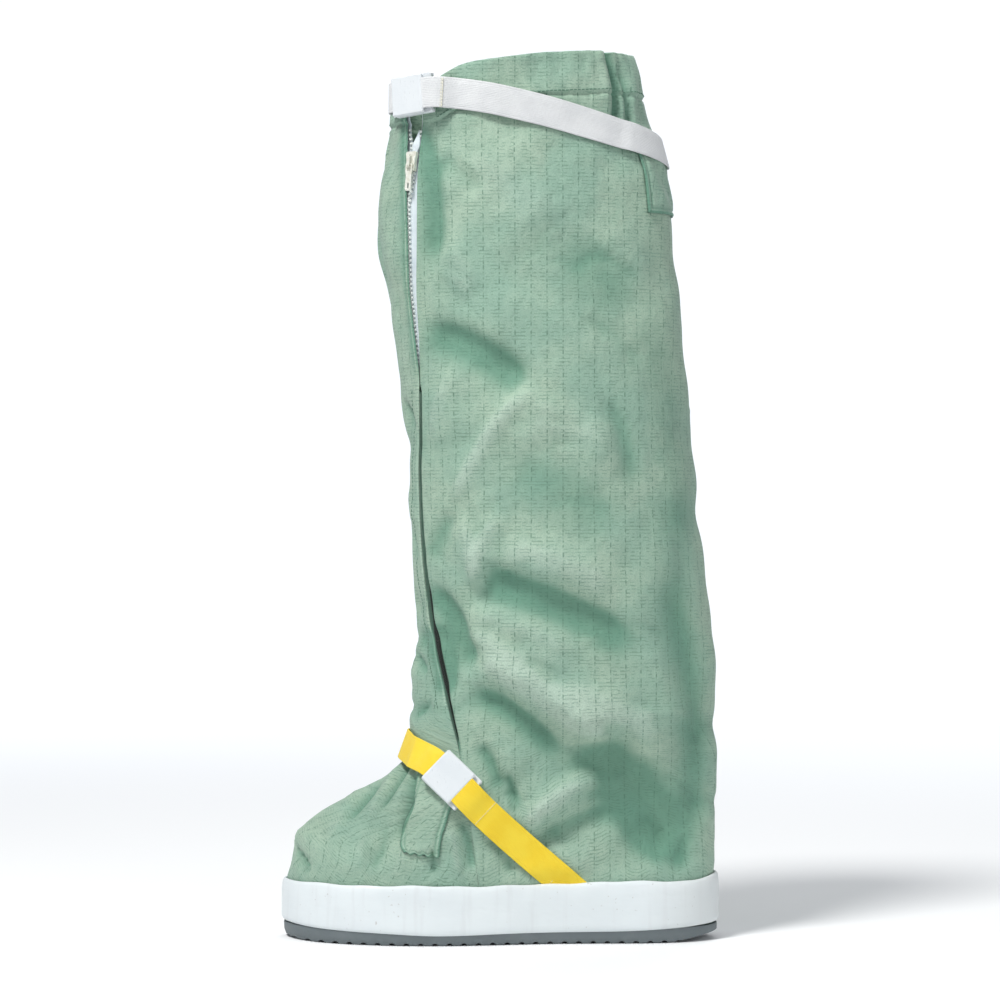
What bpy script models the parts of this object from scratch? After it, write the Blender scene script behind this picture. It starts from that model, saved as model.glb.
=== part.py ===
"""A left cleanroom boot: fabric upper on a flat rubber sole, with a zip and two buckled straps.

Metres, +Z up. The toe points to -X and the outer side of the foot is at -Y.
The origin is on the floor, in the middle of the sole's length.
"""

import math
from functools import lru_cache

import bmesh
import bpy
import numpy as np
from mathutils import Matrix, Vector
from mathutils.bvhtree import BVHTree

# Driving sizes
SOLE_LENGTH = 0.2890
BALL_WIDTH = 0.1080
BOOT_HEIGHT = 0.5795
INSTEP_RISE = 0.0910  # from the foxing's top to the bend at the front of the ankle
SHAFT_DEPTH = 0.2000  # front to back above the ankle
SHAFT_WIDTH = 0.1200
ANKLE_SOFTNESS = 0.0140  # half the height of the bend between instep and shaft
HEEL_LEAN = 0.0019  # how far the upper's back lies inside the sole's end
RIM_DIP = 0.0180  # how much lower the collar is at the front
RIM_DIP_RUN = 0.0420

# Walls and clearances
UPPER_WALL = 0.0012
GAP = 0.0003
OVERLAY_GAP = 0.0004  # under what lies on the curved fabric
STRAP_STEP = 0.0065
SKIN_SAG = 0.0005  # a flat facet's depth under the true curve

# Sole and foxing
OUTSOLE_THICKNESS = 0.0100
OUTSOLE_EDGE = 0.0045  # how far the bottom edge is drawn in
HEEL_BEVEL_LENGTH = 0.0340
HEEL_BEVEL_RISE = 0.0062
TOE_SPRING_LENGTH = 0.0240
TOE_SPRING_RISE = 0.0020
LUG_PITCH = 0.0093
GROOVE_RADIUS = 0.0022
GROOVE_DEPTH = 0.0018
FOXING_HEIGHT = 0.0400  # its top edge above the floor
FOXING_HEEL_LIP = 0.0035
FOXING_WALL = 0.0029
INSOLE_THICKNESS = 0.0030

# Upper's details
HEM_HEIGHT = 0.0270
HEM_STEP = 0.0008
PLACKET_LIFT = 0.0022
PLACKET_WIDTH = 0.0160

# Zip
TAPE_THICKNESS = 0.0007
TAPE_WIDTH = 0.0120
TAPE_DROP = 0.0315  # from the collar's height down to the tapes' ends
TAPE_TAIL = 0.0100  # how far the tapes run on below the teeth
TAPE_EDGE = 0.0030  # how far the tapes reach out of the open mouth's edges
CHAIN_WIDTH = 0.0044
CHAIN_THICKNESS = 0.0015
CHAIN_TOP = 0.0001  # above the upper's outer face
TOOTH_PITCH = 0.0030
TOOTH_NOTCH = 0.0006
ROW_WIDTH = 0.0022
ROW_DROP = 0.0495  # from the collar's height down to the open teeth's ends
SLIDER_DROP = 0.0715  # from the collar's height down to its middle
SLIDER_LENGTH = 0.0130
SLIDER_WIDTH = 0.0084
SLIDER_FOOT_WIDTH = 0.0068
SLIDER_PLATE = 0.0012
SLIDER_CORNER = 0.0008
BRIDGE_WIDTH = 0.0022
BRIDGE_LENGTH = 0.0082
BRIDGE_WINDOW = 0.0020
BRIDGE_WALL = 0.0010
BRIDGE_CORNER = 0.0008
BRIDGE_ROOT = 0.0002  # how far its feet run into the slider's plate
PULL_BAR = 0.0010
PULL_THICKNESS = 0.0011
PULL_WIDTH = 0.0056
PULL_LENGTH = 0.0175
PULL_EYE = 0.0044
PULL_EYE_PLAY = 0.0004
PULL_NECK = 0.0030
PULL_CORNER = 0.0016
PULL_SLOT_WIDTH = 0.0013
PULL_SLOT_LENGTH = 0.0036

# Straps and buckles
WEBBING_WIDTH = 0.0200
WEBBING_THICKNESS = 0.0012
BUCKLE_WIDTH = 0.0260
BUCKLE_LENGTH = 0.0300
BUCKLE_CHEEK = 0.0024
LID_LENGTH = 0.0250
FRAME_THICKNESS = 0.0017
LID_THICKNESS = 0.0032
LID_ROUNDING = 0.0012
FRAME_WINDOW = 0.0044
FRAME_BAR = 0.0016
FRAME_CORNER = 0.0006
LID_OVERHANG = 0.0005
TAB_THICKNESS = 0.0010

# Mesh fineness
UPPER_COLUMNS = 40
RING_COLUMNS = 64

HALF_SOLE = SOLE_LENGTH / 2
HEEL_LINE = HALF_SOLE - HEEL_LEAN
ANKLE_HEIGHT = FOXING_HEIGHT + INSTEP_RISE
SHAFT_HEIGHT = BOOT_HEIGHT - ANKLE_HEIGHT
SOLE_TOP = OUTSOLE_THICKNESS + GAP
UPPER_INSET = FOXING_WALL + GAP + SKIN_SAG
TAPE_TOP = BOOT_HEIGHT - TAPE_DROP
ROW_TOP = BOOT_HEIGHT - ROW_DROP
SLIDER_PLACE = BOOT_HEIGHT - SLIDER_DROP

# Outline of the sole, round from the back of the heel by the outer side.
# along: share of the length from the heel. out: share of the ball width, outer side negative.
SOLE_OUTLINE = [
    ("back of the heel", 0.000, 0.000),
    ("heel, outer corner", 0.035, -0.215),
    ("heel, outer side", 0.140, -0.350),
    ("waist, outer side", 0.370, -0.385),
    ("ball, outer side", 0.640, -0.490),
    ("little toe", 0.820, -0.425),
    ("toe, outer corner", 0.945, -0.235),
    ("tip", 1.000, 0.050),
    ("toe, inner corner", 0.965, 0.270),
    ("big toe", 0.860, 0.435),
    ("ball, inner side", 0.710, 0.505),
    ("waist, inner side", 0.430, 0.345),
    ("heel, inner side", 0.150, 0.350),
    ("heel, inner corner", 0.035, 0.215),
]

# Top line of the foot from the foxing to the ankle.
# rise: share of the instep's rise. along: share of the sole's length from its middle, toe negative.
INSTEP_LINE = [
    # rise, along
    (0.000, -0.5 + UPPER_INSET / SOLE_LENGTH),
    (0.066, -0.4800),
    (0.130, -0.4730),
    (0.270, -0.4690),
    (0.360, -0.4480),
    (0.420, -0.4240),
    (0.490, -0.3930),
    (0.580, -0.3450),
    (0.680, -0.2880),
    (0.780, -0.2480),
    (0.880, -0.2260),
    (1.000, -0.2060),
]

# The shaft's sections. up: share of the shaft's height above the ankle.
# front and back: how far they lie in front of the heel line, as shares of the shaft's depth.
# width: share of the shaft's width.
SHAFT_SECTIONS = [
    # up, front, back, width
    (0.000, 1.011, 0.000, 0.840),
    (0.085, 1.000, 0.006, 0.880),
    (0.175, 0.987, 0.018, 0.930),
    (0.265, 1.000, 0.042, 0.970),
    (0.355, 1.006, 0.061, 0.995),
    (0.445, 1.020, 0.084, 1.000),
    (0.560, 1.050, 0.104, 0.985),
    (0.650, 1.078, 0.123, 0.950),
    (0.715, 1.110, 0.138, 0.920),
    (0.770, 1.116, 0.143, 0.900),
    (0.855, 1.088, 0.182, 0.870),
    (0.915, 1.072, 0.226, 0.850),
    (1.000, 1.060, 0.275, 0.850),
]

# Opening line of the zip, on the outer side: the rear edge of the slit, and the placket's edge below.
# up: share of the boot's height. along: share of the sole's length. slit: width, share of SLIT_WIDTH.
SLIT_WIDTH = 0.0180
ZIP_LINE = [
    # up, along, slit
    (0.060, -0.045, 0.000),
    (0.210, -0.089, 0.000),
    (0.268, -0.117, 0.000),
    (0.330, -0.146, 0.000),
    (0.398, -0.166, 0.000),
    (0.500, -0.180, 0.000),
    (0.566, -0.181, 0.000),
    (0.618, -0.180, 0.000),
    (0.660, -0.182, 0.150),
    (0.720, -0.187, 0.320),
    (0.780, -0.188, 0.400),
    (0.850, -0.187, 0.500),
    (0.885, -0.183, 0.560),
    (0.925, -0.174, 0.760),
    (0.965, -0.168, 0.920),
    (1.020, -0.168, 1.000),
]
SLIT_END = 0.618 * BOOT_HEIGHT
PLACKET_TOE = 0.205 * BOOT_HEIGHT  # the placket is flat again here
PLACKET_FULL = 0.262 * BOOT_HEIGHT

# Middle of the top strap, from the front to the back of the collar.
# round: share of the way. height: share of the boot's height.
TOP_STRAP_LINE = [
    (0.000, 0.946),
    (0.170, 0.950),
    (0.255, 0.952),
    (0.370, 0.947),
    (0.530, 0.934),
    (0.760, 0.910),
    (1.000, 0.887),
]
TOP_BUCKLE_ROUND = 0.170

# Middle of the ankle strap, from the front of the ankle to the foxing, as shares of
# the sole's length from its middle and of the instep's rise above the foxing.
ANKLE_STRAP_LINE = [
    # along, rise
    (-0.1990, 0.925),
    (-0.1500, 0.845),
    (-0.1000, 0.710),
    (-0.0400, 0.520),
    (0.0500, 0.255),
    (0.1420, 0.000),
]
ANKLE_BUCKLE_ALONG = -0.1000

# Edges of the two fabric tabs on the outer side, row by row downwards.
# The instep tab's rows are x and z of its front edge, then of its rear edge, as shares of
# the sole's length from its middle and of the instep's rise above the foxing.
INSTEP_TAB = [
    (-0.2000, 0.640, -0.1090, 0.540),
    (-0.2120, 0.510, -0.1190, 0.440),
    (-0.2230, 0.380, -0.1290, 0.340),
    (-0.2240, 0.290, -0.1330, 0.260),
    (-0.2120, 0.220, -0.1350, 0.190),
]
BACK_TAB_HALF_WIDTH = 0.0330
BACK_TAB_DROP = 0.0025  # from the top strap's lower edge down to the tab
BACK_TAB_HEIGHT = 0.0270

# Rows of the upper's mesh. The first list is shares of the instep's rise,
# the second of the way from the ankle to the slit's end, the third from there to the hem.
INSTEP_ROWS = [0.07, 0.15, 0.24, 0.33, 0.42, 0.51, 0.60, 0.69, 0.77, 0.85, 0.925]
SHAFT_ROWS = [0.00, 0.03, 0.07, 0.14, 0.25, 0.39, 0.55, 0.71, 0.86]
SLIT_ROWS = [0.00, 0.09, 0.20, 0.33, 0.45, 0.55, 0.64, 0.73, 0.82, 0.91]


def smooth(share):
    """0 to 1 with soft ends."""
    share = min(max(share, 0.0), 1.0)
    return share * share * (3 - 2 * share)


def through(rows, column, at):
    """Value of a table's column at a place along its first column, with no overshoot."""
    places = [row[0] for row in rows]
    values = [row[column] for row in rows]
    if at <= places[0]:
        return values[0]
    if at >= places[-1]:
        return values[-1]
    i = next(k for k in range(1, len(places)) if at <= places[k]) - 1
    steps = [(values[k + 1] - values[k]) / (places[k + 1] - places[k]) for k in range(len(rows) - 1)]

    def slope(k):
        if k == 0 or k == len(rows) - 1:
            return steps[min(k, len(steps) - 1)]
        before, after = steps[k - 1], steps[k]
        return 0.0 if before * after <= 0 else 2 * before * after / (before + after)

    width = places[i + 1] - places[i]
    t = (at - places[i]) / width
    return (
        values[i] * (1 + 2 * t) * (1 - t) ** 2
        + values[i + 1] * t * t * (3 - 2 * t)
        + width * slope(i) * t * (1 - t) ** 2
        - width * slope(i + 1) * t * t * (1 - t)
    )


def closed_curve(points, count):
    """A smooth closed curve through the points, as evenly spaced points."""
    points = np.array(points)
    ahead = np.roll(points, -1, axis=0)
    tangents = (ahead - np.roll(points, 1, axis=0)) / 2
    dense = []
    for here, there, leave, arrive in zip(points, ahead, tangents, np.roll(tangents, -1, axis=0)):
        for t in np.linspace(0, 1, 24, endpoint=False):
            dense.append(
                here * (1 + 2 * t) * (1 - t) ** 2
                + there * t * t * (3 - 2 * t)
                + leave * t * (1 - t) ** 2
                - arrive * t * t * (1 - t)
            )
    return evenly(np.array(dense), count)


def evenly(loop, count):
    """The closed loop with its points spaced evenly along it."""
    ring = np.vstack([loop, loop[:1]])
    travelled = np.concatenate([[0], np.cumsum(np.linalg.norm(np.diff(ring, axis=0), axis=1))])
    stops = np.linspace(0, travelled[-1], count, endpoint=False)
    return np.column_stack([np.interp(stops, travelled, ring[:, k]) for k in (0, 1)])


def sole_ring(inset, count=RING_COLUMNS):
    """The sole's outline, drawn in by the inset."""
    stations = [
        (HALF_SOLE - along * SOLE_LENGTH, out * BALL_WIDTH) for _, along, out in SOLE_OUTLINE
    ]
    ring = closed_curve(stations, count)
    low, high = ring[:, 0].min(), ring[:, 0].max()
    ring[:, 0] = (ring[:, 0] - low) / (high - low) * SOLE_LENGTH - HALF_SOLE
    run = np.roll(ring, -1, axis=0) - np.roll(ring, 1, axis=0)
    run /= np.linalg.norm(run, axis=1)[:, None]
    inward = np.column_stack([-run[:, 1], run[:, 0]])
    if (-ring * inward).sum() < 0:
        inward = -inward
    return ring + inward * inset


@lru_cache(maxsize=None)
def foot_sides():
    """x, outer y and inner y of the upper where it stands inside the foxing."""
    ring = sole_ring(UPPER_INSET, 480)
    tip, back = ring[:, 0].argmin(), ring[:, 0].argmax()
    ring = np.roll(ring, -back, axis=0)
    tip = (tip - back) % len(ring)
    outer, inner = ring[: tip + 1][::-1], np.vstack([ring[tip:], ring[:1]])
    x = np.linspace(outer[0, 0], outer[-1, 0], 361)
    return x, np.interp(x, outer[:, 0], outer[:, 1]), np.interp(x, inner[:, 0], inner[:, 1])


def front_of(z):
    """x of the upper's front at a height. The bend at the ankle is a soft one."""
    low, high = ANKLE_HEIGHT - ANKLE_SOFTNESS, ANKLE_HEIGHT + ANKLE_SOFTNESS
    if not low < z < high:
        return sharp_front(z)
    step = 0.001
    start, end = sharp_front(low), sharp_front(high)
    leave = (start - sharp_front(low - step)) / step
    arrive = (sharp_front(high + step) - end) / step
    t = (z - low) / (high - low)
    return (
        start * (1 + 2 * t) * (1 - t) ** 2
        + end * t * t * (3 - 2 * t)
        + (high - low) * leave * t * (1 - t) ** 2
        - (high - low) * arrive * t * t * (1 - t)
    )


def sharp_front(z):
    """x of the front as the two tables give it, below and above the ankle."""
    if z <= ANKLE_HEIGHT:
        rise = (z - FOXING_HEIGHT) / INSTEP_RISE
        return through(INSTEP_LINE, 1, rise) * SOLE_LENGTH
    return HEEL_LINE - through(SHAFT_SECTIONS, 1, (z - ANKLE_HEIGHT) / SHAFT_HEIGHT) * SHAFT_DEPTH


def back_of(z):
    """x of the upper's back at a height. It leaves the foxing a little inside the heel line."""
    low = HALF_SOLE - UPPER_INSET
    if z <= ANKLE_HEIGHT:
        return low + (HEEL_LINE - low) * smooth((z - FOXING_HEIGHT) / (0.5 * INSTEP_RISE))
    return HEEL_LINE - through(SHAFT_SECTIONS, 2, (z - ANKLE_HEIGHT) / SHAFT_HEIGHT) * SHAFT_DEPTH


@lru_cache(maxsize=None)
def instep_height():
    """Fronts and heights of the foot's top line, for reading the height over a place."""
    heights = np.linspace(FOXING_HEIGHT, ANKLE_HEIGHT + 0.10 * SHAFT_HEIGHT, 160)
    fronts = np.maximum.accumulate([front_of(z) for z in heights])
    return fronts + np.arange(160) * 1e-9, heights


ARCH_POWER = 2.3
BLEND_LOW = FOXING_HEIGHT + 0.06 * INSTEP_RISE
BLEND_HIGH = ANKLE_HEIGHT + 0.085 * SHAFT_HEIGHT
HALF_SECTION = 60


@lru_cache(maxsize=None)
def section(z):
    """The outer face at a height: arc lengths from the front by the outer side, and points."""
    turn = np.linspace(0, 2 * math.pi, 2 * HALF_SECTION + 1)
    share = (1 - np.cos(turn)) / 2
    side = np.where(turn <= math.pi, -1.0, 1.0)
    front, back = front_of(z), back_of(z)
    x = front + share * (back - front)
    foot_x, outer, inner = foot_sides()
    stretched = np.where(x > 0, x * foot_x[-1] / back, x)
    outer_y, inner_y = np.interp(stretched, foot_x, outer), np.interp(stretched, foot_x, inner)
    fronts, heights = instep_height()
    top = np.interp(x, fronts, heights, right=10.0)
    up = np.clip((z - FOXING_HEIGHT) / np.maximum(top - FOXING_HEIGHT, 1e-6), 0, 1)
    arch = np.sqrt(1 - up**ARCH_POWER) if z > FOXING_HEIGHT else 1.0
    foot_middle, foot_half = (outer_y + inner_y) / 2, (inner_y - outer_y) / 2 * arch
    width = through(SHAFT_SECTIONS, 3, (z - ANKLE_HEIGHT) / SHAFT_HEIGHT) * SHAFT_WIDTH
    shaft_half = width / 2 * np.sqrt(np.clip(1 - (2 * share - 1) ** 2, 0, 1))
    leg = smooth((z - BLEND_LOW) / (BLEND_HIGH - BLEND_LOW))
    half = (1 - leg) * foot_half + leg * shaft_half
    points = np.column_stack([x, (1 - leg) * foot_middle + side * half])
    lengths = np.linalg.norm(np.diff(points, axis=0), axis=1)
    return np.concatenate([[0], np.cumsum(lengths)]), points


def girth(z):
    return section(z)[0][-1]


def on_skin(arc, z):
    """The point of the outer face at an arc length from the front and a height."""
    travelled, points = section(round(z, 6))
    arc %= travelled[-1]
    return Vector((np.interp(arc, travelled, points[:, 0]), np.interp(arc, travelled, points[:, 1]), z))


def outward(arc, z):
    """The outer face's normal. Arcs are compared at equal distances from the front."""
    step = 0.002
    z = max(z, FOXING_HEIGHT + step) if z > FOXING_HEIGHT - step else z
    along = on_skin(arc + step, z) - on_skin(arc - step, z)
    share = arc / girth(round(z, 6))
    upward = on_skin(share * girth(round(z + step, 6)), z + step)
    upward -= on_skin(share * girth(round(z - step, 6)), z - step)
    return along.cross(upward).normalized()


def off_skin(arc, z, out):
    """The point at a distance out from the outer face."""
    return on_skin(arc, z) + outward(arc, z) * out


def arc_at(x, z):
    """Arc length of the place with this x on the outer side."""
    travelled, points = section(round(z, 6))
    return float(np.interp(x, points[: HALF_SECTION + 1, 0], travelled[: HALF_SECTION + 1]))


def zip_arc(z):
    """Arc length of the zip's opening line."""
    return arc_at(through(ZIP_LINE, 1, z / BOOT_HEIGHT) * SOLE_LENGTH, z)


def slit_width(z):
    return through(ZIP_LINE, 2, z / BOOT_HEIGHT) * SLIT_WIDTH


def placket_lift(before_edge, z):
    """How far the front panel stands proud, at a distance in front of the placket's edge."""
    fade = smooth((z - PLACKET_TOE) / (PLACKET_FULL - PLACKET_TOE))
    return PLACKET_LIFT * fade * smooth(1 - before_edge / PLACKET_WIDTH)


def rim_height(x):
    """Height of the collar's edge, lower at the front."""
    front = front_of(BOOT_HEIGHT)
    return BOOT_HEIGHT - RIM_DIP * (1 - smooth((x - front) / RIM_DIP_RUN))


# Builders of objects

collections = {}


def start_scene():
    for item in list(bpy.data.objects):
        bpy.data.objects.remove(item)
    for name in ("cleanroom_boot", "cutters"):
        collections[name] = bpy.data.collections.new(name)
        bpy.context.scene.collection.children.link(collections[name])


def material(name, colour, roughness, metallic=0.0):
    found = bpy.data.materials.get(name)
    if found:
        return found
    made = bpy.data.materials.new(name)
    made.use_nodes = True
    shader = made.node_tree.nodes["Principled BSDF"]
    shader.inputs["Base Color"].default_value = (*colour, 1)
    shader.inputs["Roughness"].default_value = roughness
    shader.inputs["Metallic"].default_value = metallic
    return made


FABRIC = ("green fabric", (0.28, 0.45, 0.34), 0.65)
RUBBER = ("grey rubber", (0.14, 0.16, 0.17), 0.7)
BAND = ("white band", (0.78, 0.82, 0.83), 0.6)
BOARD = ("insole board", (0.55, 0.58, 0.56), 0.9)
WHITE_WEB = ("white webbing", (0.80, 0.82, 0.84), 0.7)
YELLOW_WEB = ("yellow webbing", (0.92, 0.68, 0.03), 0.7)
PLASTIC = ("white plastic", (0.84, 0.87, 0.90), 0.35)
TAPE = ("zip tape", (0.70, 0.76, 0.80), 0.8)
TEETH = ("zip teeth", (0.72, 0.76, 0.74), 0.5)
METAL = ("zip metal", (0.62, 0.60, 0.55), 0.35, 1.0)


def add_object(name, mesh, look, collection="cleanroom_boot"):
    item = bpy.data.objects.new(name, mesh)
    collections[collection].objects.link(item)
    mesh.materials.append(material(*look))
    return item


def finish(work, name, look, smooth_angle=40, collection="cleanroom_boot"):
    """The bmesh as an object, with its faces turned out and its round parts smooth."""
    bmesh.ops.recalc_face_normals(work, faces=work.faces[:])
    mesh = bpy.data.meshes.new(name)
    work.to_mesh(mesh)
    work.free()
    mesh.shade_smooth()
    mesh.set_sharp_from_angle(angle=math.radians(smooth_angle))
    return add_object(name, mesh, look, collection)


def loft(rings, name, look, closed_rings=True, ends="cap", smooth_angle=40):
    """A solid through rings of points. ends: cap closes both ends, join runs the last into the first."""
    work = bmesh.new()
    rows = [[work.verts.new(point) for point in ring] for ring in rings]
    pairs = list(zip(rows, rows[1:])) + ([(rows[-1], rows[0])] if ends == "join" else [])
    count = len(rows[0])
    for low, high in pairs:
        for k in range(count if closed_rings else count - 1):
            after = (k + 1) % count
            work.faces.new((low[k], low[after], high[after], high[k]))
    if ends == "cap":
        work.faces.new(rows[0][::-1])
        work.faces.new(rows[-1])
    return finish(work, name, look, smooth_angle)


def modifier(item, kind, name, **settings):
    made = item.modifiers.new(name, kind)
    for key, value in settings.items():
        setattr(made, key, value)
    return made


def cut(item, cutter, operation="DIFFERENCE"):
    """Applies the cutter, which stays as a hidden guide."""
    cutter.hide_render = True
    cutter.display_type = "WIRE"
    modifier(item, "BOOLEAN", "cut by " + cutter.name, operation=operation, object=cutter)


# Sole

def build_outsole():
    steps = [
        # height, how far the side is drawn in
        (OUTSOLE_THICKNESS, 0.0010),
        (0.80 * OUTSOLE_THICKNESS, 0.0006),
        (0.45 * OUTSOLE_THICKNESS, 0.0014),
        (0.15 * OUTSOLE_THICKNESS, 0.30 * OUTSOLE_EDGE + 0.0014),
        (0.0, OUTSOLE_EDGE),
    ]
    rings = [[(x, y, z) for x, y in sole_ring(inset)] for z, inset in steps]
    outsole = loft(rings, "outsole", RUBBER)
    cut(outsole, ramp("heel_bevel", 1, HEEL_BEVEL_LENGTH, HEEL_BEVEL_RISE))
    cut(outsole, ramp("toe_spring", -1, TOE_SPRING_LENGTH, TOE_SPRING_RISE))
    cut(outsole, tread_grooves())


def ramp(name, end, length, rise):
    """A block whose top slopes up towards one end of the sole. end: 1 for the heel, -1 for the toe."""
    work = bmesh.new()
    bmesh.ops.create_cube(work, size=1)
    long, wide, deep = 2 * length, 2 * BALL_WIDTH, 0.02
    bmesh.ops.transform(work, matrix=Matrix.Diagonal((long, wide, deep, 1)), verts=work.verts[:])
    bmesh.ops.translate(work, vec=(end * long / 2, 0, -deep / 2), verts=work.verts[:])
    tilt = Matrix.Rotation(-end * math.atan2(rise, length), 4, "Y")
    place = Matrix.Translation((end * (HALF_SOLE - length), 0, 0))
    bmesh.ops.transform(work, matrix=place @ tilt, verts=work.verts[:])
    return finish(work, name, RUBBER, collection="cutters")


def tread_grooves():
    """Round bars across the sole. One lug lies over the sole's middle."""
    work = bmesh.new()
    last = int(HALF_SOLE / LUG_PITCH)
    for k in range(-last, last):
        across = Matrix.Translation(((k + 0.5) * LUG_PITCH, 0, GROOVE_DEPTH - GROOVE_RADIUS))
        bmesh.ops.create_cone(
            work,
            cap_ends=True,
            segments=8,
            radius1=GROOVE_RADIUS,
            radius2=GROOVE_RADIUS,
            depth=2 * BALL_WIDTH,
            matrix=across @ Matrix.Rotation(math.pi / 2, 4, "X") @ Matrix.Rotation(math.pi / 8, 4, "Z"),
        )
    return finish(work, "tread_grooves", RUBBER, collection="cutters")


def build_foxing():
    """A ring: up its outer side, over the rounded lip and down its inner side."""
    profile = [
        # height, inset, how much of the heel's lip it follows
        (SOLE_TOP, 0.0010, 0.0),
        (SOLE_TOP + 0.0030, 0.0, 0.0),
        (0.80 * FOXING_HEIGHT, 0.0, 0.5),
        (0.93 * FOXING_HEIGHT, 0.0009, 0.9),
        (FOXING_HEIGHT, 0.0022, 1.0),
        (FOXING_HEIGHT, FOXING_WALL, 1.0),
        (SOLE_TOP, FOXING_WALL, 0.0),
    ]
    rings = []
    for z, inset, lip in profile:
        ring = sole_ring(inset)
        rings.append([(x, y, z + lip * heel_lip(x)) for x, y in ring])
    loft(rings, "foxing", BAND, ends="join")


def heel_lip(x):
    """How much higher the foxing's edge is at the back of the heel."""
    return FOXING_HEEL_LIP * smooth((x - 0.86 * HALF_SOLE) / (0.14 * HALF_SOLE))


def build_insole():
    inset = UPPER_INSET + UPPER_WALL + 2 * GAP + SKIN_SAG
    rings = [[(x, y, z) for x, y in sole_ring(inset)] for z in (SOLE_TOP, SOLE_TOP + INSOLE_THICKNESS)]
    loft(rings, "insole", BOARD)


# Upper

def upper_heights():
    """Heights of the rows and how each follows the collar's dip."""
    hem = BOOT_HEIGHT - HEM_HEIGHT
    heights = [SOLE_TOP, FOXING_HEIGHT]
    heights += [FOXING_HEIGHT + share * INSTEP_RISE for share in INSTEP_ROWS]
    heights += [ANKLE_HEIGHT + share * (SLIT_END - ANKLE_HEIGHT) for share in SHAFT_ROWS]
    heights += [SLIT_END + share * (hem - SLIT_END) for share in SLIT_ROWS]
    heights += [hem - 0.0012, hem + 0.0006, hem + 0.5 * HEM_HEIGHT, BOOT_HEIGHT]
    return heights


def row_height(height, x):
    """Height at one column of a row. Rows near the top dip with the collar."""
    low = 0.80 * BOOT_HEIGHT
    dip = BOOT_HEIGHT - rim_height(x)
    return height - dip * smooth((height - low) / (BOOT_HEIGHT - HEM_HEIGHT - low))


def column_arcs(z):
    """Arc lengths of the columns, from the slit's rear edge round the back to its front edge."""
    around = girth(round(z, 6))
    first = zip_arc(z)
    last = first + around - slit_width(z)
    placket = last - PLACKET_WIDTH * 0.95
    shares = np.linspace(first / around, placket / around, 200)
    crowd = 1 / (1 - 0.35 * np.cos(4 * math.pi * shares))
    travelled = np.concatenate([[0], np.cumsum((crowd[1:] + crowd[:-1]) / 2)])
    spread = np.interp(np.linspace(0, travelled[-1], UPPER_COLUMNS - 2), travelled, shares) * around
    return list(spread) + [last - 0.5 * PLACKET_WIDTH, last - 0.0016, last]


def build_upper():
    """An open sheet, one row of points for each height, thickened inwards."""
    work = bmesh.new()
    rows = []
    for height in upper_heights():
        is_open = height > SLIT_END + 1e-6
        arcs = column_arcs(height)
        row = []
        for k, arc in enumerate(arcs):
            if k == len(arcs) - 1 and not is_open:
                row.append(row[0])
                continue
            x = on_skin(arc, height).x
            z = row_height(height, x)
            arc_here = column_arcs(z)[k] if is_open else arc
            lift = placket_lift(arcs[-1] - arc, height) if k else 0.0
            if height > BOOT_HEIGHT - HEM_HEIGHT:
                lift += HEM_STEP
            row.append(work.verts.new(off_skin(arc_here, z, lift)))
        rows.append(row)
    drape_over(rows)
    for low, high in zip(rows, rows[1:]):
        for k in range(len(low) - 1):
            corners = [low[k], low[k + 1], high[k + 1], high[k]]
            work.faces.new(list(dict.fromkeys(corners)))
    upper = finish(work, "upper", FABRIC, 60)
    modifier(
        upper, "SOLIDIFY", "fabric wall", thickness=UPPER_WALL, offset=-1, use_even_offset=True,
        thickness_clamp=1.0,
    )


# Zip

def chain_arc(z):
    """Arc length of the middle of the teeth."""
    return zip_arc(z) - max(CHAIN_WIDTH / 2 + 0.0007, slit_width(z) / 2)


def mouth_share(z):
    """0 below the slider, 1 where the tapes follow the open mouth's edges."""
    return smooth((z - SLIDER_PLACE - 0.3 * SLIDER_LENGTH) / (1.3 * SLIDER_LENGTH))


def tape_edge(z, side):
    """Arc length of a tape's toothed edge. side: 1 behind the teeth, -1 in front of them."""
    spread = mouth_share(z) * (slit_width(z) / 2 - TAPE_EDGE)
    return chain_arc(z) + side * (0.0002 + max(spread, 0.0))


TAPE_LEVEL = -UPPER_WALL - GAP - SKIN_SAG
ZIP_BOTTOM = SLIT_END + SLIT_ROWS[1] * (BOOT_HEIGHT - HEM_HEIGHT - SLIT_END) + 0.0010


def build_tape(name, side):
    """A band behind the slit's edge. It follows the placket where that stands proud."""
    rings = []
    for z in np.linspace(ZIP_BOTTOM - TAPE_TAIL, TAPE_TOP, 22):
        ring = []
        edge = tape_edge(z, side)
        panel_edge = zip_arc(z) - slit_width(z)
        for across, follows in ((0.0, 0.0), (CHAIN_WIDTH / 2 + 0.0005, 0.0), (TAPE_WIDTH, 0.8)):
            arc = edge + side * across
            lift = placket_lift(panel_edge - arc, z) if side < 0 else 0
            ring.append((arc, TAPE_LEVEL + follows * lift))
        under = [(arc, level - TAPE_THICKNESS) for arc, level in ring[::-1]]
        rings.append([off_skin(arc, z, level) for arc, level in ring + under])
    loft(rings, name, TAPE)


def build_teeth(name, middle, width, low, high):
    """A toothed bar along a line, wide at each tooth and narrow between two."""
    rings = []
    count = int((high - low) / TOOTH_PITCH)
    for k in range(2 * count + 1):
        z = low + (high - low) * k / (2 * count)
        half = width / 2 - (TOOTH_NOTCH if k % 2 else 0)
        arc = middle(z)
        corners = [(-half, 0), (half, 0), (half, -CHAIN_THICKNESS), (-half, -CHAIN_THICKNESS)]
        rings.append([off_skin(arc + across, z, CHAIN_TOP + out) for across, out in corners])
    loft(rings, name, TEETH, smooth_angle=15)


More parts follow.
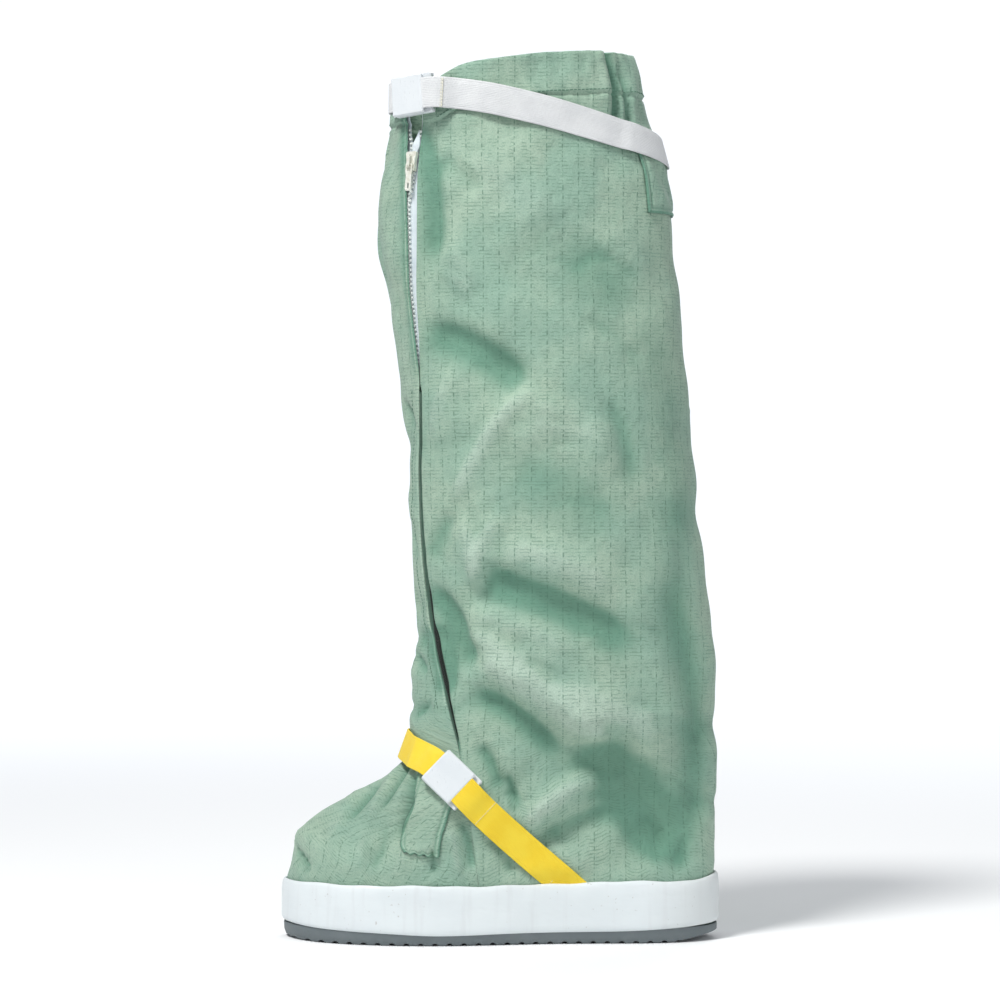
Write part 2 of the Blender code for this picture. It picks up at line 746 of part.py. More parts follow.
def place_on(arc, z, along):
    """Matrix of a place on the skin. x: across, y: along, z: out of the skin."""
    out = outward(arc, z)
    y = (along - out * along.dot(out)).normalized()
    matrix = Matrix((y.cross(out), y, out)).transposed().to_4x4()
    matrix.translation = on_skin(arc, z)
    return matrix


def box_mesh(work, low, high):
    """Adds a box between two corners."""
    size = Vector(high) - Vector(low)
    middle = (Vector(high) + Vector(low)) / 2
    matrix = Matrix.Translation(middle) @ Matrix.Diagonal((*size, 1))
    bmesh.ops.create_cube(work, size=1, matrix=matrix)


def box(name, low, high, look, collection="cutters"):
    work = bmesh.new()
    box_mesh(work, low, high)
    return finish(work, name, look, collection=collection)


def slab(name, outline, axis, low, high, look, collection="cleanroom_boot"):
    """A flat outline made thick along one of its axes (0 for x, 2 for z)."""
    rings = []
    for level in (low, high):
        rings.append([(u, v, level) if axis == 2 else (level, u, v) for u, v in outline])
    item = loft(rings, name, look)
    if collection != "cleanroom_boot":
        collections["cleanroom_boot"].objects.unlink(item)
        collections[collection].objects.link(item)
    return item


def build_slider(holder):
    """An upside-down channel that holds the teeth, with a bridge for the pull."""
    half_channel = CHAIN_WIDTH / 2 + GAP
    low, roof = CHAIN_TOP - 0.8 * CHAIN_THICKNESS, CHAIN_TOP + GAP
    top = roof + SLIDER_PLATE
    stations = [
        # along the zip, half width
        (-SLIDER_LENGTH / 2, SLIDER_FOOT_WIDTH / 2 - SLIDER_CORNER / 2),
        (-SLIDER_LENGTH / 2 + SLIDER_CORNER, SLIDER_FOOT_WIDTH / 2),
        (0.10 * SLIDER_LENGTH, SLIDER_FOOT_WIDTH / 2),
        (0.32 * SLIDER_LENGTH, SLIDER_WIDTH / 2),
        (SLIDER_LENGTH / 2 - SLIDER_CORNER, SLIDER_WIDTH / 2),
        (SLIDER_LENGTH / 2, SLIDER_WIDTH / 2 - SLIDER_CORNER),
    ]
    rings = []
    for y, half in stations:
        ring = [(-half, top), (half, top), (half, low), (half_channel, low), (half_channel, roof)]
        ring += [(-half_channel, roof), (-half_channel, low), (-half, low)]
        rings.append([(x, y, z) for x, z in ring])
    slider = loft(rings, "zip_slider", METAL)
    half, wall, corner = BRIDGE_LENGTH / 2, BRIDGE_WALL, BRIDGE_CORNER
    root, ceiling = top - BRIDGE_ROOT, top + BRIDGE_WINDOW
    outline = [(-half, root), (-half, ceiling + wall - corner), (-half + corner, ceiling + wall)]
    outline += [(half - corner, ceiling + wall), (half, ceiling + wall - corner), (half, root)]
    outline += [(half - wall, root), (half - wall, ceiling), (-half + wall, ceiling), (-half + wall, root)]
    bridge = slab("bridge", outline, 0, -BRIDGE_WIDTH / 2, BRIDGE_WIDTH / 2, METAL, "cutters")
    cut(slider, bridge, "UNION")
    for item in (slider, bridge):
        item.parent = holder
    return top + BRIDGE_WINDOW / 2


def build_pull(holder, pin_level):
    """A flat tab that hangs from its bar under the slider's bridge."""
    hinge = bpy.data.objects.new("zip_pull_hinge", None)
    collections["cleanroom_boot"].objects.link(hinge)
    hinge.parent = holder
    hinge.location = (0, -BRIDGE_LENGTH / 2 + BRIDGE_WALL + PULL_BAR, pin_level)
    half, thick = PULL_WIDTH / 2, PULL_THICKNESS / 2
    foot, neck = -PULL_LENGTH, -PULL_EYE - PULL_NECK
    heel = foot + PULL_CORNER
    outline = [(-half, PULL_BAR / 2), (half, PULL_BAR / 2), (half, -PULL_EYE), (0.78 * half, neck)]
    outline += [(0.90 * half, heel), (0.55 * half, foot), (-0.55 * half, foot)]
    outline += [(-0.90 * half, heel), (-0.78 * half, neck), (-half, -PULL_EYE)]
    pull = slab("zip_pull", outline, 2, -thick, thick, METAL)
    eye_half, slot_half = BRIDGE_WIDTH / 2 + PULL_EYE_PLAY, PULL_SLOT_WIDTH / 2
    deep = 2 * PULL_THICKNESS
    eye = box("pull_eye", (-eye_half, -PULL_EYE, -deep), (eye_half, -PULL_BAR / 2, deep), METAL)
    slot_top = heel + PULL_SLOT_LENGTH
    slot = box("pull_slot", (-slot_half, heel, -deep), (slot_half, slot_top, deep), METAL)
    cut(pull, eye)
    cut(pull, slot)
    for item in (pull, eye, slot):
        item.parent = hinge


def build_zip():
    build_tape("zip_tape_back", 1)
    build_tape("zip_tape_front", -1)
    foot = SLIDER_PLACE - 0.5 * SLIDER_LENGTH
    build_teeth("zip_chain", chain_arc, CHAIN_WIDTH, ZIP_BOTTOM, foot + 0.5 * SLIDER_LENGTH)
    start = SLIDER_PLACE + 0.5 * SLIDER_LENGTH + 0.0012
    for name, side in (("zip_row_back", 1), ("zip_row_front", -1)):
        build_teeth(name, lambda z: tape_edge(z, side) + side * ROW_WIDTH / 2, ROW_WIDTH, start, ROW_TOP)
    arc = chain_arc(SLIDER_PLACE)
    above = on_skin(chain_arc(SLIDER_PLACE + 0.004), SLIDER_PLACE + 0.004)
    holder = bpy.data.objects.new("zip_slider_place", None)
    collections["cleanroom_boot"].objects.link(holder)
    holder.matrix_world = place_on(arc, SLIDER_PLACE, above - on_skin(arc, SLIDER_PLACE))
    build_pull(holder, build_slider(holder))


# Straps and buckles

drape = {}


def drape_over(rows):
    """Keeps the upper's flat facets, and the taut line over its slit, as what the straps lie on."""
    points, faces, count = [], [], len(rows[0])
    for row in rows:
        points += [vert.co.copy() for vert in row]
    for row in range(len(rows) - 1):
        for k in range(count):
            after = (k + 1) % count
            low, high = row * count, (row + 1) * count
            corners = [low + k, low + after, high + after, high + k]
            if len({tuple(points[corner]) for corner in corners}) > 2:
                faces.append(corners)
    drape["facets"] = BVHTree.FromPolygons(points, faces)


def nearest(point):
    """Place on the upper's facets nearest to a point, and the true face's normal there."""
    place = drape["facets"].find_nearest(point)[0]
    z = min(max(place.z, FOXING_HEIGHT), BOOT_HEIGHT)
    travelled, points = section(round(z, 6))
    k = int(np.linalg.norm(points - np.array(place[:2]), axis=1).argmin())
    return place, outward(float(travelled[k]), z)


def settle(grid):
    """Lower face of an overlay: each seat's point, raised where a flat stretch would touch a ridge."""
    level = [[OVERLAY_GAP] * len(row) for row in grid]
    rows, columns = len(grid), len(grid[0])
    neighbours = [(0, 1), (1, 0), (1, 1), (1, -1)]
    for _ in range(5):
        for i in range(rows):
            for j in range(columns):
                for down, right in neighbours:
                    if not (i + down < rows and 0 <= j + right < columns):
                        continue
                    here, there = grid[i][j], grid[i + down][j + right]
                    start = here[0] + here[1] * level[i][j]
                    end = there[0] + there[1] * level[i + down][j + right]
                    for share in (0.25, 0.5, 0.75):
                        point = start.lerp(end, share)
                        seat = drape["facets"].find_nearest(point)[0]
                        short = 0.9 * OVERLAY_GAP - (point - seat).dot((here[1] + there[1]).normalized())
                        if short > 0:
                            level[i][j] += short
                            level[i + down][j + right] += short
    return level


def strap_path(stations, spacing, closed):
    """Evenly spaced points of the draped surface along the stations."""
    points = [nearest(point)[0] for point in stations]
    if closed:
        points.append(points[0])
    lengths = [0.0]
    for here, there in zip(points, points[1:]):
        lengths.append(lengths[-1] + (there - here).length)
    count = round(lengths[-1] / spacing)
    stops = np.linspace(0, lengths[-1], count, endpoint=not closed)
    spaced = [np.interp(stops, lengths, [point[k] for point in points]) for k in range(3)]
    return [nearest(Vector(point))[0] for point in zip(*spaced)]


def strap_frames(path, closed):
    """At each point of the path: place, direction, direction across, and the normal."""
    frames = []
    last = len(path) - 1
    for k, place in enumerate(path):
        before = path[k - 1] if closed or k > 0 else place
        after = path[(k + 1) % len(path)] if closed or k < last else place
        _, out = nearest(place)
        along = after - before
        along = (along - out * along.dot(out)).normalized()
        frames.append((place, along, out.cross(along), out))
    return frames


def build_strap(name, frames, look, closed, floor=0.0):
    """Webbing over the draped surface. floor: a height below which nothing of it reaches."""
    grid = []
    for place, _, across, _ in frames:
        grid.append([nearest(place + across * share * WEBBING_WIDTH) for share in (-0.5, 0.0, 0.5)])
    levels = settle(grid + grid[:1])[:-1] if closed else settle(grid)
    rings = overlay_rings(grid, levels, WEBBING_THICKNESS, floor)
    return loft(rings, name, look, ends="join" if closed else "cap")


def overlay_rings(grid, levels, thickness, floor=0.0):
    """Rings of an overlay's lower and upper face, row by row."""
    rings = []
    for row, heights in zip(grid, levels):
        ring = [place + out * level for (place, out), level in zip(row, heights)]
        ring += [place + out * (level + thickness) for (place, out), level in zip(row[::-1], heights[::-1])]
        rings.append([Vector((point.x, point.y, max(point.z, floor))) for point in ring])
    return rings


def level_over(strap, matrix):
    """Height of the webbing's highest point under a buckle, in the buckle's own frame."""
    back = matrix.inverted()
    points = [back @ vert.co for vert in strap.data.vertices]
    reach = 0.5 * BUCKLE_LENGTH + STRAP_STEP
    return max(point.z for point in points if abs(point.x) < reach and abs(point.y) < BUCKLE_WIDTH)


def level_beside(matrix, low, high):
    """Height of the upper's highest point under a buckle's cheeks, in the buckle's own frame."""
    turned = matrix.to_3x3()
    heights = []
    for x in np.linspace(low, high, 9):
        for y in (-1.0, -0.8, 0.8, 1.0):
            start = matrix @ Vector((x, y * BUCKLE_WIDTH / 2, 0.02))
            hit = drape["facets"].ray_cast(start, -turned.col[2], 0.05)[0]
            if hit:
                heights.append((matrix.inverted() @ hit).z)
    return max(heights)


def build_buckle(name, frame, strap):
    """A flat frame over the webbing and the lid that clamps it."""
    place, along, across, out = frame
    matrix = Matrix((along, across, out)).transposed().to_4x4()
    matrix.translation = place
    front, back = -0.47 * BUCKLE_LENGTH, 0.53 * BUCKLE_LENGTH
    low = level_over(strap, matrix) + GAP
    foot = level_beside(matrix, front, back) + OVERLAY_GAP
    top = low + FRAME_THICKNESS
    half, inner = BUCKLE_WIDTH / 2, BUCKLE_WIDTH / 2 - BUCKLE_CHEEK
    stations = [
        # along the strap, how far the edges are drawn in
        (front, FRAME_CORNER),
        (front + FRAME_CORNER, 0),
        (back - FRAME_CORNER, 0),
        (back, FRAME_CORNER),
    ]
    rings = []
    for x, drawn in stations:
        wide = half - drawn
        ring = [(-wide, top - drawn), (wide, top - drawn), (wide, foot), (inner, foot), (inner, low)]
        ring += [(-inner, low), (-inner, foot), (-wide, foot)]
        rings.append([(x, y, z) for y, z in ring])
    body = loft(rings, name + "_frame", PLASTIC)
    window_half = inner - FRAME_BAR
    window = box(
        name + "_window",
        (back - FRAME_BAR - FRAME_WINDOW, -window_half, low - FRAME_BAR),
        (back - FRAME_BAR, window_half, top + FRAME_BAR),
        PLASTIC,
    )
    cut(body, window)
    start = front - LID_OVERHANG
    lid = box(
        name + "_lid",
        (start, -half, top + GAP),
        (start + LID_LENGTH, half, top + GAP + LID_THICKNESS),
        PLASTIC,
        "cleanroom_boot",
    )
    modifier(lid, "BEVEL", "rounded edges", width=LID_ROUNDING, segments=2, limit_method="ANGLE")
    for item in (body, window, lid):
        item.matrix_world = matrix


def build_top_strap():
    count = 120
    stations = []
    for k in range(count):
        share = 2 * k / count
        z = through(TOP_STRAP_LINE, 1, min(share, 2 - share)) * BOOT_HEIGHT
        around = girth(round(z, 6))
        stations.append(on_skin(around * k / count, z))
    frames = strap_frames(strap_path(stations, STRAP_STEP, True), True)
    strap = build_strap("top_strap", frames, WHITE_WEB, True)
    at = round(TOP_BUCKLE_ROUND / 2 * len(frames))
    build_buckle("top_buckle", frames[at], strap)


def build_ankle_strap():
    outer, inner = [], []
    first, last = ANKLE_STRAP_LINE[0][0], ANKLE_STRAP_LINE[-1][0]
    for along in np.linspace(first, last, 40):
        x, z = along * SOLE_LENGTH, FOXING_HEIGHT + through(ANKLE_STRAP_LINE, 1, along) * INSTEP_RISE
        arc = arc_at(x, z)
        outer.append(on_skin(arc, z))
        travelled, points = section(round(z, 6))
        far_side = slice(HALF_SECTION, None)
        far_arc = np.interp(-x, -points[far_side, 0], travelled[far_side])
        inner.append(on_skin(float(far_arc), z))
    frames = strap_frames(strap_path(inner[::-1] + outer, STRAP_STEP, False), False)
    floor = FOXING_HEIGHT + GAP
    strap = build_strap("ankle_strap", frames, YELLOW_WEB, False, floor)
    x = ANKLE_BUCKLE_ALONG * SOLE_LENGTH
    outer_frames = [frame for frame in frames if frame[0].y < 0]
    build_buckle("ankle_buckle", min(outer_frames, key=lambda frame: abs(frame[0].x - x)), strap)


def build_patch(name, rows):
    """A fabric patch on the upper. Each row is a list of arc lengths and heights."""
    grid = [[nearest(on_skin(arc, z)) for arc, z in row] for row in rows]
    loft(overlay_rings(grid, settle(grid), TAB_THICKNESS), name, FABRIC)


def build_tabs():
    rows = []
    strap_foot = TOP_STRAP_LINE[-1][1] * BOOT_HEIGHT - WEBBING_WIDTH / 2
    for share in np.linspace(1, 0, 4):
        z = strap_foot - BACK_TAB_DROP - share * BACK_TAB_HEIGHT
        middle = girth(round(z, 6)) / 2
        rows.append([(middle + side * BACK_TAB_HALF_WIDTH, z) for side in np.linspace(-1, 1, 9)])
    build_patch("back_tab", rows)
    rows = []
    for front_x, front_rise, rear_x, rear_rise in INSTEP_TAB:
        row = []
        for share in np.linspace(0, 1, 5):
            x = (front_x + (rear_x - front_x) * share) * SOLE_LENGTH
            z = FOXING_HEIGHT + (front_rise + (rear_rise - front_rise) * share) * INSTEP_RISE
            row.append((arc_at(x, z), z))
        rows.append(row)
    build_patch("instep_tab", rows)


def main():
    start_scene()
    build_outsole()
    build_foxing()
    build_insole()
    build_upper()
    build_zip()
    build_top_strap()
    build_ankle_strap()
    build_tabs()


main()
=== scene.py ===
# %% [markdown]
# # Dressing a left cleanroom boot
# A cleanroom boot is a knee-high fabric overshoe on a flat rubber sole. Here its plain solids,
# which already have the right size and place, get their cloth, webbing, zip and rubber.
# The solids are loaded first. They stay where they are and are only hidden where a finer
# piece stands for them.

# %% Load the plain solids
import math

import bmesh
import bpy
import numpy as np
from mathutils import Matrix, Vector
from mathutils.bvhtree import BVHTree


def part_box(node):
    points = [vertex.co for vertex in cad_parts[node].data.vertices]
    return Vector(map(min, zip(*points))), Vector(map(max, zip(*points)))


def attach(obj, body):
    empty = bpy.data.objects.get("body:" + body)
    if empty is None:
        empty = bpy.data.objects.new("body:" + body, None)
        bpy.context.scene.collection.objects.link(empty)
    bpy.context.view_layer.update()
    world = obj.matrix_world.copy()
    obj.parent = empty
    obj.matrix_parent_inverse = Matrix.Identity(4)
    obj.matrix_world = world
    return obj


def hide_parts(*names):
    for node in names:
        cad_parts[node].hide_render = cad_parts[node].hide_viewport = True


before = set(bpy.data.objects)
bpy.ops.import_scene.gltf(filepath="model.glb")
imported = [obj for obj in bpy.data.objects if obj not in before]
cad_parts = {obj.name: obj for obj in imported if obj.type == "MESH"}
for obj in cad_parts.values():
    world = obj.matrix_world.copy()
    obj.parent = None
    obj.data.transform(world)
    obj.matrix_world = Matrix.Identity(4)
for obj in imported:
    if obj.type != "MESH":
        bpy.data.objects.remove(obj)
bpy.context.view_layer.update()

# %% [markdown]
# ## Camera, light and floor
# The boot is seen from its outer side, level with the middle of the shaft and through a long
# lens, so that near and far parts have almost the same scale. A long lens far away does this
# better than a short lens close by. A pale floor that turns into plain light further out
# has no horizon line behind the boot.

# %% Camera
CAMERA_DISTANCE = 2.2
CAMERA_HEIGHT = 0.288
MM_PER_PIXEL = 0.66
SENSOR = 36.0

camera = bpy.data.objects.new("camera", bpy.data.cameras.new("camera"))
camera.data.sensor_width = SENSOR
camera.data.lens = SENSOR * CAMERA_DISTANCE / MM_PER_PIXEL
camera.location = (0, -CAMERA_DISTANCE, CAMERA_HEIGHT)
camera.rotation_euler = (math.pi / 2, 0, 0)
bpy.context.scene.collection.objects.link(camera)
bpy.context.scene.camera = camera
bpy.context.scene.view_settings.view_transform = "Standard"
print("lens in mm:", round(camera.data.lens, 1))

# %% Soft lights and a white surround
SKY = (0.93, 0.96, 1.0)


def add_light(name, place, aim, size, power, colour=(1, 1, 1)):
    light = bpy.data.lights.new(name, "AREA")
    light.shape = "DISK"
    light.size = size
    light.energy = power
    light.color = colour
    item = bpy.data.objects.new(name, light)
    item.location = place
    item.rotation_euler = (Vector(aim) - Vector(place)).to_track_quat("-Z", "Y").to_euler()
    bpy.context.scene.collection.objects.link(item)


def seen_or_felt(tree, seen, felt):
    """A strength for what is looked at straight, and another for the light it gives."""
    path = tree.nodes.new("ShaderNodeLightPath")
    choose = tree.nodes.new("ShaderNodeMapRange")
    choose.inputs["To Min"].default_value = felt
    choose.inputs["To Max"].default_value = seen
    tree.links.new(path.outputs["Is Camera Ray"], choose.inputs["Value"])
    return choose.outputs[0]


MIDDLE = (0, 0, 0.3)
SURROUND_LIGHT = 0.42
add_light("key", (-0.8, -1.05, 2.3), MIDDLE, 0.6, 54, (1.0, 0.99, 0.97))
add_light("fill", (1.6, -1.9, 0.9), MIDDLE, 1.6, 9)
add_light("back", (0.6, 2.0, 1.6), MIDDLE, 1.4, 14)
world = bpy.data.worlds.new("white surround")
world.use_nodes = True
surround = world.node_tree.nodes["Background"]
surround.inputs["Color"].default_value = (*SKY, 1)
world.node_tree.links.new(seen_or_felt(world.node_tree, 1.1, SURROUND_LIGHT), surround.inputs["Strength"])
bpy.context.scene.world = world

# %% [markdown]
# ## Mixing a material
# Every finish here is procedural: a few patterns feed the colour, the roughness and the bump
# of one shader. The patterns are read from a coordinate that each piece carries as an
# attribute, in metres along its cloth or webbing. That way a weave keeps its real pitch on
# every fold, and nothing has to be unwrapped. A small class keeps the node work short.

# %% A short way to write a material


class Recipe:
    """A material that is being mixed. Each method adds one node and gives its output."""

    def __init__(self, name):
        self.material = bpy.data.materials.new(name)
        self.material.use_nodes = True
        self.nodes = self.material.node_tree.nodes
        self.shader = self.nodes["Principled BSDF"]

    def feed(self, socket, value):
        """Links an output to the socket, or sets the socket's own value."""
        if isinstance(value, bpy.types.NodeSocket):
            self.material.node_tree.links.new(value, socket)
        elif isinstance(value, tuple) and len(value) == 3 and socket.type == "RGBA":
            socket.default_value = (*value, 1)
        else:
            socket.default_value = value

    def add(self, kind, inputs=(), **settings):
        """One node of a kind, with its inputs and its settings."""
        node = self.nodes.new("ShaderNode" + kind)
        for key, value in settings.items():
            setattr(node, key, value)
        for key, value in dict(inputs).items():
            self.feed(node.inputs[key], value)
        return node

    def math(self, operation, a, b=0.0, clamp=False):
        return self.add("Math", {0: a, 1: b}, operation=operation, use_clamp=clamp).outputs[0]

    def coordinate(self, attribute):
        """The piece's own coordinate in metres, as a vector and as two numbers."""
        vector = self.add("Attribute", attribute_name=attribute).outputs["Vector"]
        parts = self.add("SeparateXYZ", {0: vector}).outputs
        return vector, parts[0], parts[1], parts[2]

    def place(self):
        """The point's own place on the object, in metres."""
        return self.add("TexCoord").outputs["Object"]

    def stretched(self, vector, scale):
        return self.add("Mapping", {"Vector": vector, "Scale": scale}).outputs[0]

    def noise(self, vector, scale, detail=3.0, roughness=0.5):
        inputs = {"Vector": vector, "Scale": scale, "Detail": detail, "Roughness": roughness}
        return self.add("TexNoise", inputs).outputs["Fac"]

    def between(self, value, low, high, start=0.0, end=1.0):
        """The value's way from low to high, as a soft step from start to end."""
        inputs = {0: value, 1: low, 2: high, 3: start, 4: end}
        return self.add("MapRange", inputs, interpolation_type="SMOOTHSTEP").outputs[0]

    def blend(self, share, first, second, how="MIX"):
        inputs = {0: share, 6: first, 7: second}
        return self.add("Mix", inputs, data_type="RGBA", blend_type=how).outputs[2]

    def line(self, value, pitch, width):
        """1 on thin lines at each pitch of the value, 0 between them."""
        saw = self.math("PINGPONG", value, pitch / 2)
        return self.between(saw, width / 2, 0.2 * width)

    def finish(self, colour, roughness, height=None, depth=0.0003, coat=0.0, sheen=0.0, metal=0.0):
        """Feeds the shader. height is a pattern from 0 to 1, and depth its real depth in metres."""
        self.feed(self.shader.inputs["Base Color"], colour)
        self.feed(self.shader.inputs["Roughness"], roughness)
        self.shader.inputs["Metallic"].default_value = metal
        self.shader.inputs["Coat Weight"].default_value = coat
        self.shader.inputs["Sheen Weight"].default_value = sheen
        if height is not None:
            bump = self.add("Bump", {"Height": height, "Distance": depth, "Strength": 1.0})
            self.feed(self.shader.inputs["Normal"], bump.outputs[0])
        return self.material


print("ways to mix:", [name for name in vars(Recipe) if not name.startswith("_")])

# %% [markdown]
# ## The floor
# A photographer would let a sheet of pale paper curve up behind the boot. One flat disc does
# the same here. Near the boot it is matt and takes the shadow, and further out it turns into
# plain light, where a matt floor would look grey.

# %% Floor
FLOOR_RADIUS = 14.0
FLOOR_NEAR, FLOOR_FAR = 0.5, 2.2


def floor_finish():
    """Pale matt floor that turns into plain light away from the boot."""
    mix = Recipe("pale floor")
    distance = mix.add("VectorMath", {0: mix.place()}, operation="LENGTH").outputs["Value"]
    mix.finish((0.90, 0.91, 0.92), 0.9)
    strength = seen_or_felt(mix.material.node_tree, 1.1, SURROUND_LIGHT)
    glow = mix.add("Emission", {"Color": SKY, "Strength": strength})
    both = mix.add("MixShader", {0: mix.between(distance, FLOOR_NEAR, FLOOR_FAR)})
    mix.feed(both.inputs[1], mix.shader.outputs[0])
    mix.feed(both.inputs[2], glow.outputs[0])
    mix.feed(mix.nodes["Material Output"].inputs["Surface"], both.outputs[0])
    return mix.material


work = bmesh.new()
bmesh.ops.create_circle(work, cap_ends=True, radius=FLOOR_RADIUS, segments=64)
floor_mesh = bpy.data.meshes.new("floor")
work.to_mesh(floor_mesh)
work.free()
floor_mesh.materials.append(floor_finish())
floor = bpy.data.objects.new("floor", floor_mesh)
bpy.context.scene.collection.objects.link(floor)
print("floor radius in m:", FLOOR_RADIUS)

# %% [markdown]
# ## The last, as a function
# The boot's shape comes from a foot-shaped outline below and from oval sections of the shaft
# above. A maker would call this the last and the leg pattern. The tables repeat those of the
# solid model, as shares of the sole's length, which is measured on the loaded solids, and of
# the boot's height. Everything that lies on the boot asks this function where its skin is.

# %% Sizes taken from the solids
sole_low, sole_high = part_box("foxing")
SOLE_LENGTH = sole_high[0] - sole_low[0]
BALL_WIDTH = 0.1080
BOOT_HEIGHT = 0.5795
FOXING_HEIGHT = 0.0400
INSTEP_RISE = 0.0910
SHAFT_DEPTH = 0.2000
SHAFT_WIDTH = 0.1200
ANKLE_SOFTNESS = 0.0140
HEM_HEIGHT = 0.0270
SOLE_TOP = sole_low[2]
FOXING_WALL = 0.0029
UPPER_INSET = FOXING_WALL + 0.0008
UPPER_WALL = 0.0012

HALF_SOLE = SOLE_LENGTH / 2
HEEL_LINE = HALF_SOLE - 0.0019
ANKLE_HEIGHT = FOXING_HEIGHT + INSTEP_RISE
SHAFT_HEIGHT = BOOT_HEIGHT - ANKLE_HEIGHT

# %% Tables of the last
SOLE_OUTLINE = [
    # along from the heel, out (outer side negative), as shares of length and ball width
    (0.000, 0.000), (0.035, -0.215), (0.140, -0.350), (0.370, -0.385), (0.640, -0.490),
    (0.820, -0.425), (0.945, -0.235), (1.000, 0.050), (0.965, 0.270), (0.860, 0.435),
    (0.710, 0.505), (0.430, 0.345), (0.150, 0.350), (0.035, 0.215),
]
INSTEP_LINE = [
    # rise, along
    (0.000, -0.5 + UPPER_INSET / SOLE_LENGTH), (0.066, -0.4800), (0.130, -0.4730), (0.270, -0.4690),
    (0.360, -0.4480), (0.420, -0.4240), (0.490, -0.3930), (0.580, -0.3450), (0.680, -0.2880),
    (0.780, -0.2480), (0.880, -0.2260), (1.000, -0.2060),
]
SHAFT_SECTIONS = [
    # up, front, back, width
    (0.000, 1.011, 0.000, 0.840), (0.085, 1.000, 0.006, 0.880), (0.175, 0.987, 0.018, 0.930),
    (0.265, 1.000, 0.042, 0.970), (0.355, 1.006, 0.061, 0.995), (0.445, 1.020, 0.084, 1.000),
    (0.560, 1.050, 0.104, 0.985), (0.650, 1.078, 0.123, 0.950), (0.715, 1.110, 0.138, 0.920),
    (0.770, 1.116, 0.143, 0.900), (0.855, 1.088, 0.182, 0.870), (0.915, 1.072, 0.226, 0.850),
    (1.000, 1.060, 0.275, 0.850),
]
SLIT_WIDTH = 0.0180
ZIP_LINE = [
    # up, along, slit
    (0.060, -0.045, 0.000), (0.210, -0.089, 0.000), (0.268, -0.117, 0.000), (0.330, -0.146, 0.000),
    (0.398, -0.166, 0.000), (0.500, -0.180, 0.000), (0.566, -0.181, 0.000), (0.618, -0.180, 0.000),
    (0.660, -0.182, 0.150), (0.720, -0.187, 0.320), (0.780, -0.188, 0.400), (0.850, -0.187, 0.500),
    (0.885, -0.183, 0.560), (0.925, -0.174, 0.760), (0.965, -0.168, 0.920), (1.020, -0.168, 1.000),
]
SLIT_END = 0.618 * BOOT_HEIGHT
print("outline points:", len(SOLE_OUTLINE), "shaft sections:", len(SHAFT_SECTIONS))

# %% Curves through tables


def smooth(share):
    """0 to 1 with soft ends."""
    share = np.clip(share, 0.0, 1.0)
    return share * share * (3 - 2 * share)


def hill(distance, width):
    """1 at no distance, falling softly to 0."""
    return np.exp(-((distance / width) ** 2))


def through(rows, column, at):
    """Values of a table's column at places along its first column, with no overshoot."""
    places = np.array([row[0] for row in rows])
    values = np.array([row[column] for row in rows])
    steps = np.diff(values) / np.diff(places)
    before, after = steps[:-1], steps[1:]
    together = np.where(before * after > 0, before + after, 1.0)
    inner = np.where(before * after > 0, 2 * before * after / together, 0.0)
    slopes = np.concatenate([steps[:1], inner, steps[-1:]])
    at = np.clip(at, places[0], places[-1])
    i = np.clip(np.searchsorted(places, at) - 1, 0, len(places) - 2)
    width = places[i + 1] - places[i]
    t = (at - places[i]) / width
    return (
        values[i] * (1 + 2 * t) * (1 - t) ** 2
        + values[i + 1] * t * t * (3 - 2 * t)
        + width * slopes[i] * t * (1 - t) ** 2
        - width * slopes[i + 1] * t * t * (1 - t)
    )


STEPS_A_POINT = 24


def sole_ring(inset, count):
    """The sole's outline from above as evenly spaced points, drawn in by the inset."""
    points = np.array([(HALF_SOLE - a * SOLE_LENGTH, out * BALL_WIDTH) for a, out in SOLE_OUTLINE])
    ahead = np.roll(points, -1, axis=0)
    tangents = (ahead - np.roll(points, 1, axis=0)) / 2
    arrive = np.roll(tangents, -1, axis=0)
    t = np.linspace(0, 1, STEPS_A_POINT, endpoint=False)[None, :, None]
    curve = (
        points[:, None] * (1 + 2 * t) * (1 - t) ** 2
        + ahead[:, None] * t * t * (3 - 2 * t)
        + tangents[:, None] * t * (1 - t) ** 2
        - arrive[:, None] * t * t * (1 - t)
    ).reshape(-1, 2)
    ring = np.vstack([curve, curve[:1]])
    travelled = np.concatenate([[0], np.cumsum(np.linalg.norm(np.diff(ring, axis=0), axis=1))])
    stops = np.linspace(0, travelled[-1], count, endpoint=False)
    ring = np.column_stack([np.interp(stops, travelled, ring[:, k]) for k in (0, 1)])
    low, high = ring[:, 0].min(), ring[:, 0].max()
    ring[:, 0] = (ring[:, 0] - low) / (high - low) * SOLE_LENGTH - HALF_SOLE
    run = np.roll(ring, -1, axis=0) - np.roll(ring, 1, axis=0)
    run /= np.linalg.norm(run, axis=1)[:, None]
    inward = np.column_stack([-run[:, 1], run[:, 0]])
    if (-ring * inward).sum() < 0:
        inward = -inward
    return ring + inward * inset


print("sole's width in mm:", round(1000 * float(np.ptp(sole_ring(0.0, 480)[:, 1])), 1))

# %% Front and back of the boot


def sharp_front(z):
    """x of the front at heights, with a sharp bend at the ankle."""
    low = through(INSTEP_LINE, 1, (z - FOXING_HEIGHT) / INSTEP_RISE) * SOLE_LENGTH
    high = HEEL_LINE - through(SHAFT_SECTIONS, 1, (z - ANKLE_HEIGHT) / SHAFT_HEIGHT) * SHAFT_DEPTH
    return np.where(z <= ANKLE_HEIGHT, low, high)


